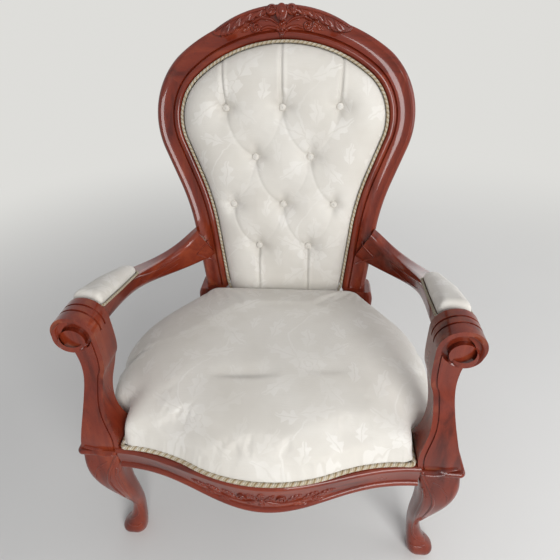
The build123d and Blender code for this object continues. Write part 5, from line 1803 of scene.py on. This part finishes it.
@dataclass
class Relief:
    """Lays carved forms over the face of the wood that carries them.

    The face is looked for inward from the start, and the fallback holds where it isn't met.
    Both are distances out, in millimetres.
    """

    carriers: Sequence[Piece]
    to_chair: Callable[[Rows], Rows]
    outward: Vector
    start: float
    fallback: float
    search: float = 0.2
    leaf_sink: float = 2.0
    stem_sink: float = 1.5
    crescent_sink: float = 0.5
    count: int = 0

    def __post_init__(self) -> None:
        """Prepare the search for the face and an empty mesh."""
        self.trees = [surface_tree(carrier) for carrier in self.carriers]
        self.outward = self.outward.normalized()
        self.points: list[Rows] = []
        self.faces: list[Face] = []

    @staticmethod
    def polar(centre: Point2, radius: Rows, turn: Rows) -> Rows:
        """Places round a middle."""
        return np.stack([centre[0] + radius * np.cos(turn), centre[1] + radius * np.sin(turn)], -1)

    @staticmethod
    def tuck(heights: Rows, depth: float) -> None:
        """Sink the border of a form under the face."""
        heights[:, [0, -1]] = -depth
        heights[[0, -1], :] = -depth

    def grid(self, places: Rows, heights: Rows) -> None:
        """Add a grid of points laid over the face.

        Args:
            places: Across and up of each point, as rows by columns by two.
            heights: Height of each point over the face, in millimetres.
        """
        rows, columns, _ = places.shape
        flat = places.reshape(-1, 2)
        levels = (np.full(len(flat), out) for out in (self.start, self.fallback))
        origins, lost = (self.to_chair(np.column_stack([flat, level])) for level in levels)
        laid = []
        for origin, height, spare in zip(origins, heights.ravel(), lost):
            hits = [tree.ray_cast(Vector(origin), -self.outward, self.search) for tree in self.trees]
            found = min((hit for hit in hits if hit[0] is not None), key=lambda hit: hit[3], default=None)
            base = found[0] if found else Vector(spare)
            laid.append(base + self.outward * float(height) * MM)
        cells = grid_faces(rows, columns)
        self.faces += [tuple(self.count + corner for corner in face) for face in cells]
        self.points.append(np.array(laid))
        self.count += len(laid)

    def leaf(self, base: Point2, tip: Point2, width: float, bend: float, lobes: int, height: float) -> None:
        """Carve one lobed leaf with a sunk midrib.

        Args:
            base: Its stalk end.
            tip: Its point.
            width: Its width.
            bend: Sideways bow as a share of its length.
            lobes: Number of lobes on each side.
            height: Its height over the face.
        """
        run = np.subtract(tip, base)
        length = math.hypot(*run)
        normal = np.array([-run[1], run[0]]) / length
        control = np.add(base, tip) / 2 + normal * bend * length
        u = np.linspace(0, 1, 44)[:, None]
        t = np.linspace(-1, 1, 17)[None, :]
        centre = curve_points(base, control, tip, u)
        slope = 2 * (1 - u) * (control - np.array(base)) + 2 * u * (np.array(tip) - control)
        slope /= np.linalg.norm(slope, axis=1)[:, None]
        side = np.column_stack([-slope[:, 1], slope[:, 0]])
        shape = np.sin(np.pi * u**0.8) ** 0.75
        scallop = 1 - 0.3 * np.abs(np.cos(np.pi * lobes * u)) ** 3
        half = width / 2 * shape * scallop + 0.15
        places = centre[:, None, :] + side[:, None, :] * (half * t)[..., None]
        places += slope[:, None, :] * (0.35 * half * np.abs(t))[..., None]
        crown = (1 - t**2) ** 0.55 * (0.3 + 0.7 * np.sin(np.pi * u**0.9) ** 0.6)
        veins = 0.8 + 0.2 * np.cos(2 * np.pi * (lobes * u - 0.6 * np.abs(t)))
        rib = 1 - 0.5 * hump(t, 0.13) * np.sin(np.pi * u)
        heights = height * crown * veins * rib
        self.tuck(heights, self.leaf_sink)
        self.grid(places, heights)

    def stroke(self, line: Sequence[Point2], widths: Sequence[float], height: float) -> None:
        """Carve a raised stem along a line.

        Args:
            line: Points of the stem.
            widths: Width at its start, middle and end.
            height: Its height over the face.
        """
        points = np.array(line, float)
        run = np.concatenate([[0], np.cumsum(np.linalg.norm(np.diff(points, axis=0), axis=1))])
        count = max(12, int(run[-1] / 1.5))
        s = np.linspace(0, run[-1], count)
        centre = np.column_stack([np.interp(s, run, points[:, axis]) for axis in (0, 1)])
        for _ in range(6):
            centre[1:-1] = (centre[:-2] + 2 * centre[1:-1] + centre[2:]) / 4
        slope = np.gradient(centre, axis=0)
        slope /= np.linalg.norm(slope, axis=1)[:, None]
        side = np.column_stack([-slope[:, 1], slope[:, 0]])
        half = np.interp(np.linspace(0, 1, count), np.linspace(0, 1, len(widths)), widths) / 2
        t = np.linspace(-1, 1, 11)
        places = centre[:, None, :] + side[:, None, :] * (half[:, None] * t)[..., None]
        taper = np.minimum(1, half[:, None] / max(half.max(), 1e-6) + 0.3)
        heights = height * np.sqrt(1 - t**2)[None, :] * taper
        self.tuck(heights, self.stem_sink)
        self.grid(places, heights)

    def scroll(
        self, centre: Point2, outer: float, turns: float, start: float, hand: int, height: float
    ) -> None:
        """Carve a curled stem that winds in to an eye.

        Args:
            centre: Middle of the curl.
            outer: Its outer radius.
            turns: Number of turns.
            start: Angle of its outer end in degrees.
            hand: 1 to wind left, -1 to wind right.
            height: Its height over the face.
        """
        share = np.linspace(0, 1, int(40 * turns) + 1)
        turn = math.radians(start) + hand * 2 * math.pi * turns * share
        line = self.polar(centre, outer * (1 - 0.8 * share), turn)
        self.stroke(line, (outer * 0.32, outer * 0.42, outer * 0.38), height)
        self.boss(centre, outer * 0.3, height * 1.15)

    def boss(self, centre: Point2, radius: float, height: float) -> None:
        """Carve a round boss.

        Args:
            centre: Its middle.
            radius: Its radius.
            height: Its height over the face.
        """
        r = np.linspace(0.02, 1, 9)[:, None]
        turn = np.linspace(0, 2 * math.pi, 29)[None, :]
        heights = height * np.sqrt(np.maximum(1 - r**2, 0)) + 0 * turn
        heights[-1, :] = -self.stem_sink
        self.grid(self.polar(centre, radius * r, turn), heights)

    def crescent(
        self, centre: Point2, inner: float, outer: float, start: float, end: float, height: float
    ) -> None:
        """Carve a crescent that swells out of a round hollow.

        Args:
            centre: Middle of the hollow.
            inner: Inner radius.
            outer: Outer radius.
            start: Angle of one end in degrees.
            end: Angle of the other end in degrees.
            height: Height in the middle of the crescent.
        """
        turn = np.radians(np.linspace(start, end, 40))[:, None]
        r = np.linspace(inner, outer, 9)[None, :]
        share = np.linspace(0, 1, 40)[:, None]
        heights = height * np.sin(np.pi * share) ** 0.7 + 0 * r
        heights[[0, -1], :] = -self.crescent_sink
        self.grid(self.polar(centre, r, turn), heights)

    def build(self, name: str, material: Finish) -> Piece:
        """Make the carving as one piece."""
        return new_piece(name, np.concatenate(self.points), self.faces, [material])


@dataclass
class Carving:
    """Carved leaves, stems and scrolls over the crest, the arms, the front legs and the front rail."""

    back: BackShape
    frame: dict
    finishes: Finishes
    spray_top: float = 647.0
    spray_reach: float = 150.0
    spray_fall: float = 46.0
    spray_insets: tuple[float, ...] = (8.0, 23.0, 20.5, 18.0, 15.5, 13.0)
    leaf_swell: float = 3.0
    cartouche_reach: float = 34.0
    scroll_eye: Point2 = (311.0, 580.0)

    def build(self) -> None:
        """Carve the crest, the front rail, and the leg and arm of each side."""
        self.crest()
        self.apron()
        for side in Side:
            self.leg(side)
            self.arm(side)

    def from_front(self, places: Rows) -> Rows:
        """Points in metres from rows of across, height and out to the front."""
        x, z, out = np.asarray(places, float).reshape(-1, 3).T
        return np.stack([x, -out, z], 1) * MM

    def leg(self, side: Side) -> None:
        """Carve the lip under the post, the knee, the bead down the leg, the toe and the volute.

        Args:
            side: Side of the chair.
        """
        hand, name = side.value, side.label
        nodes = self.frame["nodes"]
        carriers = [nodes[f"front_leg_{name}"], nodes[f"arm_post_{name}"]]
        relief = Relief(carriers, self.from_front, FORWARD, 420.0, 262.0)
        lip = ((338, 352), (330, 350), (316, 345), (298, 340), (280, 341))
        tongue = ((279, 330), (291, 308), (303, 282), (309, 258), (308, 236), (305, 204), (304, 170))
        bead = ((285, 296), (290, 276), (292, 250), (292, 222), (292, 182), (296, 136), (300, 104))
        ankle = ((301, 82), (304, 68), (311, 59), (322, 50), (334, 40))
        toe = ((299, 38), (305, 34), (314, 33), (325, 34), (336, 32))
        knee = ((300, 312), (318, 300), (330, 280), (333, 262))
        lines = (
            (lip, (4.0, 8.0, 5.0), 4.0),
            (tongue, (5.0, 7.0, 2.5), 2.8),
            (bead + ankle, (4.5, 5.5, 5.5, 4.0), 2.6),
            (toe, (3.0, 7.0, 3.0), 2.4),
            (knee, (2.0, 4.0, 1.5), 1.3),
        )
        for points, widths, height in lines:
            relief.stroke([(hand * x, z) for x, z in points], widths, height)
        eye = (hand * self.scroll_eye[0], self.scroll_eye[1])
        relief.crescent(eye, 20.0, 31.5, 90 - hand * 210, 90 - hand * 20, 8.5)
        relief.build(f"leg_carving_{name}", self.finishes.wood[Grain.UPRIGHT])

    def arm(self, side: Side) -> None:
        """Carve the beads along the inside of the arm and the leaf where it meets the stile.

        Args:
            side: Side of the chair.
        """
        hand, name = side.value, side.label
        nodes = self.frame["nodes"]

        def from_inside(places: Rows) -> Rows:
            """Points in metres from rows of depth, height and out to the middle of the chair."""
            y, z, out = np.asarray(places, float).reshape(-1, 3).T
            return np.stack([-hand * out, y, z], 1) * MM

        bead = Relief([nodes[f"arm_{name}"]], from_inside, Vector((-hand, 0, 0)), -170.0, -292.0)
        upper = [(146, 489), (110, 491), (72, 500), (30, 517), (-14, 540), (-52, 556)]
        lower = [(140, 476), (104, 477), (70, 486), (34, 500), (0, 518)]
        bead.stroke(upper, (3.5, 4.0, 2.5), 1.8)
        bead.stroke(lower, (2.0, 3.0, 1.5), 1.3)
        bead.build(f"arm_bead_{name}", self.finishes.wood[Grain.ALONG])
        carriers = [nodes[f"arm_{name}"], nodes[f"back_stile_{name}"]]
        leaf = Relief(carriers, self.from_front, FORWARD, -120.0, -200.0)
        for points in (((186, 519), (199, 502), (223, 480)), ((224, 480), (203, 462), (179, 450))):
            leaf.stroke([(hand * x, z) for x, z in points], (2.0, 5.0, 4.0), 2.4)
        leaf.build(f"arm_root_leaf_{name}", self.finishes.wood[Grain.UPRIGHT])

    @property
    def spray_radius(self) -> float:
        """Radius of the spray's upper edge."""
        return (self.spray_reach**2 + self.spray_fall**2) / (2 * self.spray_fall)

    def on_spray(self, turn: float, inset: float) -> Point2:
        """Place on the spray at an angle from the middle, a distance in from its upper edge."""
        reach = self.spray_radius - inset
        return (reach * math.sin(turn), self.spray_top - self.spray_radius + reach * math.cos(turn))

    def crest(self) -> None:
        """Carve the cartouche, the curled stems and the spray of leaves on the crest."""
        outward = Vector((0, -math.cos(self.back.tilt), math.sin(self.back.tilt)))
        relief = Relief([self.frame["nodes"]["crest_rail"]], self.back.to_chair, outward, 60.0, -14.0)
        relief.leaf((0, 589), (0, 630), 19.0, 0.0, 3, 4.0)
        relief.boss((0, 634), 8.0, 4.0)
        relief.stroke([(0, 584), (0, 596), (0, 612)], (6.0, 8.0, 4.0), 4.5)
        for hand in (-1, 1):
            self.crest_half(relief, hand)
        relief.build("crest_carving", self.finishes.wood[Grain.ACROSS])

    def crest_half(self, relief: Relief, hand: int) -> None:
        """Carve one side of the crest.

        Args:
            relief: The carving under way.
            hand: 1 for the right side, -1 for the left.
        """

        def side(points: Iterable[Point2]) -> list[Point2]:
            """Places turned to this side."""
            return [(hand * x, v) for x, v in points]

        def curl(middle: Point2, outer: float, turns: float, start: float, height: float) -> None:
            """Curl on this side, wound in from a start angle on the right side."""
            angle = 90 - hand * (90 - start)
            relief.scroll((hand * middle[0], middle[1]), outer, turns, angle, -hand, height)

        curl((21.0, 638.0), 9.0, 1.2, 200.0, 3.5)
        curl((56.0, 608.0), 12.5, 1.5, 40.0, 5.0)
        relief.stroke(side([(1, 585), (4, 597), (15, 605), (32, 608), (47, 602)]), (5.0, 8.0, 5.0), 5.0)
        relief.stroke(side([(8, 612), (24, 622), (46, 625), (65, 616)]), (4.0, 7.0, 5.0), 4.5)
        leaves = (((44, 613), (70, 596), 12.0), ((66, 612), (92, 600), 11.0), ((30, 618), (40, 632), 11.0))
        for base, tip, width in leaves:
            relief.leaf(*side([base, tip]), width, -0.15 * hand, 3, 3.5)
        tip_turn = math.asin(self.spray_reach / self.spray_radius)
        neck_turn = math.asin(self.cartouche_reach / self.spray_radius)
        count = len(self.spray_insets) - 1
        step = (neck_turn - tip_turn) / count
        edge = [self.on_spray(turn, 4.5) for turn in np.linspace(0.97 * tip_turn, neck_turn, 31)]
        relief.stroke(side(edge), (4.0, 6.0, 6.0), 2.4)
        for index in range(count):
            inset = (self.spray_insets[index] + self.spray_insets[index + 1]) / 2 + self.leaf_swell
            turn = tip_turn + index * step
            base = self.on_spray(turn + 1.75 * step, 6.0)
            tip = self.on_spray(turn + 0.25 * step, inset - 1.0)
            relief.leaf(*side([base, tip]), 16.0, -0.14 * hand, 1, 3.0)

    def apron(self) -> None:
        """Carve the low spray in the middle of the front rail."""
        relief = Relief([self.frame["nodes"]["front_rail"]], self.from_front, FORWARD, 420.0, 330.0)
        relief.boss((0, 308), 6.5, 4.5)
        relief.leaf((0, 312), (0, 334), 15.0, 0.0, 3, 3.2)
        relief.leaf((0, 304), (0, 284), 13.0, 0.0, 3, 3.0)
        stem = ((8, 308), (30, 300), (62, 303), (98, 312))
        spray = (
            (46, 305, 72, 324, 14.0, 0.12),
            (50, 301, 80, 291, 13.0, -0.12),
            (72, 305, 100, 325, 13.0, 0.12),
            (78, 304, 112, 299, 11.0, -0.12),
            (96, 311, 130, 321, 11.0, 0.1),
        )
        for hand in (-1, 1):
            relief.leaf((hand * 6, 311), (hand * 24, 329), 12.0, -0.15 * hand, 3, 3.0)
            relief.leaf((hand * 6, 305), (hand * 26, 290), 12.0, 0.15 * hand, 3, 3.0)
            relief.scroll((hand * 36, 313), 10.0, 1.3, 90 + 110 * hand, -hand, 3.4)
            relief.stroke([(hand * x, z) for x, z in stem], (3.5, 5.0, 2.5), 3.0)
            for x0, z0, x1, z1, width, bend in spray:
                relief.leaf((hand * x0, z0), (hand * x1, z1), width, bend * hand, 4, 3.0)
        relief.build("front_rail_carving", self.finishes.wood[Grain.ACROSS])


@dataclass
class WoodFrame:
    """Finishes on the solids of the frame."""

    frame: dict
    finishes: Finishes
    sharp_angle: float = math.radians(38)
    grains: dict[str, Grain] = field(
        default_factory=lambda: {
            "crest_rail": Grain.ACROSS,
            "front_rail": Grain.ACROSS,
            "back_rail": Grain.ACROSS,
            "arm": Grain.ALONG,
            "side_rail": Grain.ALONG,
            "back_stile": Grain.UPRIGHT,
            "rear_leg": Grain.UPRIGHT,
            "front_leg": Grain.UPRIGHT,
            "arm_post": Grain.UPRIGHT,
        }
    )

    def build(self) -> None:
        """Put a finish on every solid that stays in sight or inside."""
        for name, node in self.frame["nodes"].items():
            finish = self.finish_of(name)
            if finish is None:
                continue
            node.data.materials.clear()
            node.data.materials.append(finish)
            node.data.shade_smooth()
            node.data.set_sharp_from_angle(angle=self.sharp_angle)
            LOG.info("%s: %s", name, finish.name)

    def finish_of(self, name: str) -> Finish | None:
        """Finish of a node.

        Args:
            name: Name of the node.

        Returns:
            Its material, or nothing for a node that another piece stands for.
        """
        base = name.removesuffix("_left").removesuffix("_right")
        if base in self.grains:
            return self.finishes.wood[self.grains[base]]
        if name.endswith("webbing"):
            return self.finishes.webbing
        if name.endswith("screws"):
            return self.finishes.steel
        if "dowels" in name or "block" in name or name == "back_bottom_rail":
            return self.finishes.frame_wood
        return None


@dataclass(frozen=True)
class Lamp:
    """A square soft lamp, in metres and watts."""

    name: str
    place: Point3
    aim: Point3
    size: float
    power: float


@dataclass
class Studio:
    """Pale floor, soft lamps and the camera of the photograph, in metres."""

    eye: Point3 = (0.0931, -0.7484, 1.0545)
    yaw: float = math.radians(-6.41)
    pitch: float = math.radians(34.81)
    roll: float = math.radians(-2.32)
    focal_pixels: float = 434.2
    frame_pixels: float = 560.0
    sensor: float = 36.0
    floor_half: float = 60.0
    floor_tones: tuple[Colour, Colour] = ((0.66, 0.655, 0.64), (0.7, 0.695, 0.68))
    floor_fade: Point2 = (0.7, 2.6)
    backdrop: Colour = (0.73, 0.725, 0.7)
    sky: Colour = (0.96, 0.97, 1.0)
    sky_strengths: Point2 = (0.33, 0.74)
    lamps: tuple[Lamp, ...] = (
        Lamp("window", (1.0, -2.1, 1.5), (0.0, 0.2, 0.7), 1.4, 57.0),
        Lamp("fill", (1.9, 0.0, 1.1), (0.1, -0.1, 0.45), 1.2, 9.0),
        Lamp("top", (0.3, 0.3, 2.7), (0.0, 0.0, 0.4), 1.4, 4.0),
        Lamp("rear", (0.4, 2.8, 1.0), (0.0, 0.2, 0.6), 2.8, 24.0),
    )

    def build(self) -> None:
        """Set up the stage."""
        self.floor()
        self.light()
        self.camera()
        bpy.context.scene.view_settings.view_transform = "Standard"

    def floor(self) -> None:
        """Lay a pale floor that turns into an even backdrop away from the chair."""
        mesh = bpy.data.meshes.new("floor")
        half = self.floor_half
        corners = [(-half, -half, 0), (half, -half, 0), (half, half, 0), (-half, half, 0)]
        mesh.from_pydata(corners, [], [(0, 1, 2, 3)])
        floor = add_object("floor", mesh)
        s = Shader("pale_floor")
        place = s.node("TexCoord", "Object")
        tone = s.noise(place, 2.0, 2.0)
        s.set(Base_Color=s.mix(tone, *self.floor_tones), Roughness=0.6)
        away = s.step(s.node("VectorMath", 1, {"operation": "LENGTH"}, Vector=place), *self.floor_fade)
        seen = self.seen_directly(s.tree)
        glow = s.tree.nodes.new("ShaderNodeEmission")
        glow.inputs["Color"].default_value = s.opaque(self.backdrop)
        blend = s.tree.nodes.new("ShaderNodeMixShader")
        s.put(blend.inputs[0], s.times(away, seen))
        s.put(blend.inputs[1], s.surface.outputs[0])
        s.put(blend.inputs[2], glow.outputs[0])
        output = next(node for node in s.tree.nodes if node.type == "OUTPUT_MATERIAL")
        s.put(output.inputs[0], blend.outputs[0])
        mesh.materials.append(s.material)

    @staticmethod
    def seen_directly(tree: bpy.types.NodeTree) -> Socket:
        """Add nodes that give 1 where a surface is looked at, or is seen in gloss or glass.

        Args:
            tree: Tree of the material or the world.

        Returns:
            The output socket.
        """
        path = tree.nodes.new("ShaderNodeLightPath")
        result = path.outputs["Is Camera Ray"]
        for name in ("Is Glossy Ray", "Is Transmission Ray"):
            either = tree.nodes.new("ShaderNodeMath")
            either.operation = "MAXIMUM"
            tree.links.new(result, either.inputs[0])
            tree.links.new(path.outputs[name], either.inputs[1])
            result = either.outputs[0]
        return result

    def light(self) -> None:
        """Hang soft lamps and set an even pale world."""
        world = bpy.data.worlds.new("studio")
        bpy.context.scene.world = world
        world.use_nodes = True
        tree = world.node_tree
        sky = tree.nodes["Background"]
        sky.inputs["Color"].default_value = Shader.opaque(self.sky)
        strength = tree.nodes.new("ShaderNodeMapRange")
        for socket, value in zip(strength.inputs[1:5], (0.0, 1.0, *self.sky_strengths)):
            socket.default_value = value
        tree.links.new(self.seen_directly(tree), strength.inputs[0])
        tree.links.new(strength.outputs[0], sky.inputs["Strength"])
        for lamp in self.lamps:
            light = bpy.data.lights.new(lamp.name, "AREA")
            light.size = lamp.size
            light.energy = lamp.power
            hung = add_object(lamp.name, light)
            hung.location = lamp.place
            ray = Vector(lamp.aim) - Vector(lamp.place)
            hung.rotation_euler = ray.to_track_quat("-Z", "Y").to_euler()

    def camera(self) -> None:
        """Stand the camera where the photograph was taken."""
        data = bpy.data.cameras.new("camera")
        data.sensor_width = self.sensor
        data.lens = self.focal_pixels / self.frame_pixels * self.sensor
        data.clip_start = 0.01
        flat = math.cos(self.pitch)
        ahead = Vector((math.sin(self.yaw) * flat, math.cos(self.yaw) * flat, -math.sin(self.pitch)))
        level = Vector((math.cos(self.yaw), -math.sin(self.yaw), 0.0))
        upright = level.cross(ahead)
        right = level * math.cos(self.roll) + upright * math.sin(self.roll)
        up = upright * math.cos(self.roll) - level * math.sin(self.roll)
        camera = add_object("camera", data)
        turn = Matrix((right, up, -ahead)).transposed().to_4x4()
        turn.translation = Vector(self.eye)
        camera.matrix_world = turn
        bpy.context.scene.camera = camera


def clear_stage() -> None:
    """Remove the objects that a new file starts with."""
    for item in list(bpy.data.objects):
        bpy.data.objects.remove(item)


def main() -> None:
    """Build the chair's looks over its solids."""
    logging.basicConfig(level=logging.INFO, format="%(name)s: %(message)s")
    clear_stage()
    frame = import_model()
    finishes = Finishes()
    back = BackShape()
    WoodFrame(frame, finishes).build()
    Carving(back, frame, finishes).build()
    Back(back, frame, finishes).build()
    Seat(SeatShape(), frame, finishes).build()
    Arms(ArmShape(back), frame, finishes).build()
    Studio().build()


if __name__ == "__main__":
    main()
